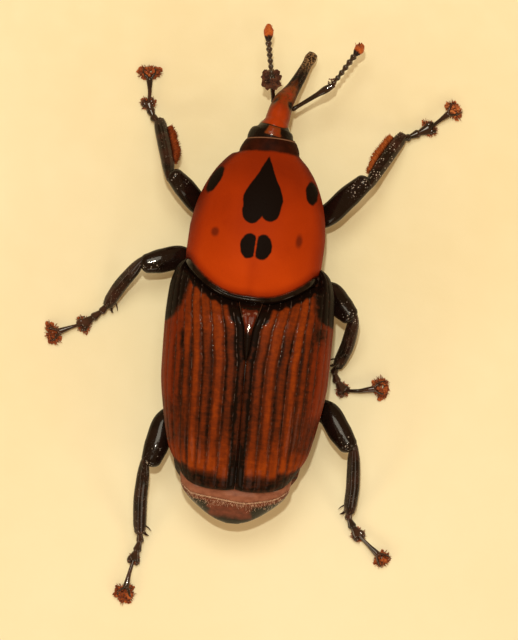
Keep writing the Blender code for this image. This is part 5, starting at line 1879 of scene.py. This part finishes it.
# %% The floor
CREAM_DEEP = (0.87, 0.82, 0.56)
CREAM = (0.92, 0.90, 0.68)
FLOOR_HALF = 900.0


def floor_finish():
    material, tree = new_finish("pale_floor", specular=0.25)
    tone = shades(tree, speckle(tree, 0.02, detail=6.0), (0.35, CREAM_DEEP), (0.65, CREAM))
    rough = uneven(tree, 0.5, 0.50, 0.66)
    return dress(material, tone, rough, relief(tree, speckle(tree, 1.5, detail=5.0), 0.02))


floor_mesh = bpy.data.meshes.new("floor")
corners = [(x * FLOOR_HALF * MM, y * FLOOR_HALF * MM, 0.0) for x, y in ((-1, -1), (1, -1), (1, 1), (-1, 1))]
floor_mesh.from_pydata(corners, [], [(0, 1, 2, 3)])
floor_mesh.materials.append(floor_finish())
floor = bpy.data.objects.new("floor", floor_mesh)
bpy.context.scene.collection.objects.link(floor)

# %% The lights
BODY_HEIGHT = 4.0       # the lights aim at it, and the photograph's scale is taken there
FLASH = (1.0, 0.93, 0.75)
WARM = (1.0, 0.84, 0.58)
PALE_WARM = (1.0, 0.90, 0.72)
ROOM = (1.0, 0.55, 0.23)
ROOM_STRENGTH = 0.44


def soft_light(name, place, power, size, colour=FLASH):
    """A square light at a place in mm that looks at the animal."""
    light = bpy.data.lights.new(name, "AREA")
    light.energy = power
    light.size = size * MM
    light.color = colour
    lamp = bpy.data.objects.new(name, light)
    lamp.location = Vector(place) * MM
    aim = Vector((0.0, 0.0, BODY_HEIGHT)) - Vector(place)
    lamp.rotation_euler = aim.to_track_quat("-Z", "Y").to_euler()
    bpy.context.scene.collection.objects.link(lamp)


# Name, place in mm, power in watts, size in mm, colour
soft_light("key", (-10.0, 130.0, 300.0), 0.30, 120.0)
soft_light("fill_left", (-230.0, -170.0, 150.0), 0.13, 100.0, WARM)
soft_light("fill_right", (240.0, -170.0, 150.0), 0.13, 100.0, WARM)
soft_light("fill_rear", (0.0, -290.0, 150.0), 0.10, 110.0, PALE_WARM)
soft_light("spark", (-6.0, 46.0, 340.0), 0.40, 8.0)
world = bpy.data.worlds.new("soft_room")
world.use_nodes = True
background = world.node_tree.nodes["Background"]
background.inputs["Color"].default_value = (*ROOM, 1.0)
background.inputs["Strength"].default_value = ROOM_STRENGTH
bpy.context.scene.world = world
bpy.context.scene.view_settings.view_transform = "Standard"

# %% The camera
IMAGE_HEIGHT = 46.85          # millimetres that the photograph's 640 rows cover at the middle of the body
CAMERA_PLACE = (0.33, -0.40, 350.0)      # in mm, straight above the middle of the photograph
camera_data = bpy.data.cameras.new("camera")
camera_data.lens = camera_data.sensor_width * (CAMERA_PLACE[2] - BODY_HEIGHT) / IMAGE_HEIGHT
camera_data.clip_start = 0.01
camera_data.clip_end = 10.0
camera = bpy.data.objects.new("camera", camera_data)
camera.location = [value * MM for value in CAMERA_PLACE]
bpy.context.scene.collection.objects.link(camera)
bpy.context.scene.camera = camera
print("lens %.0f mm" % camera_data.lens)
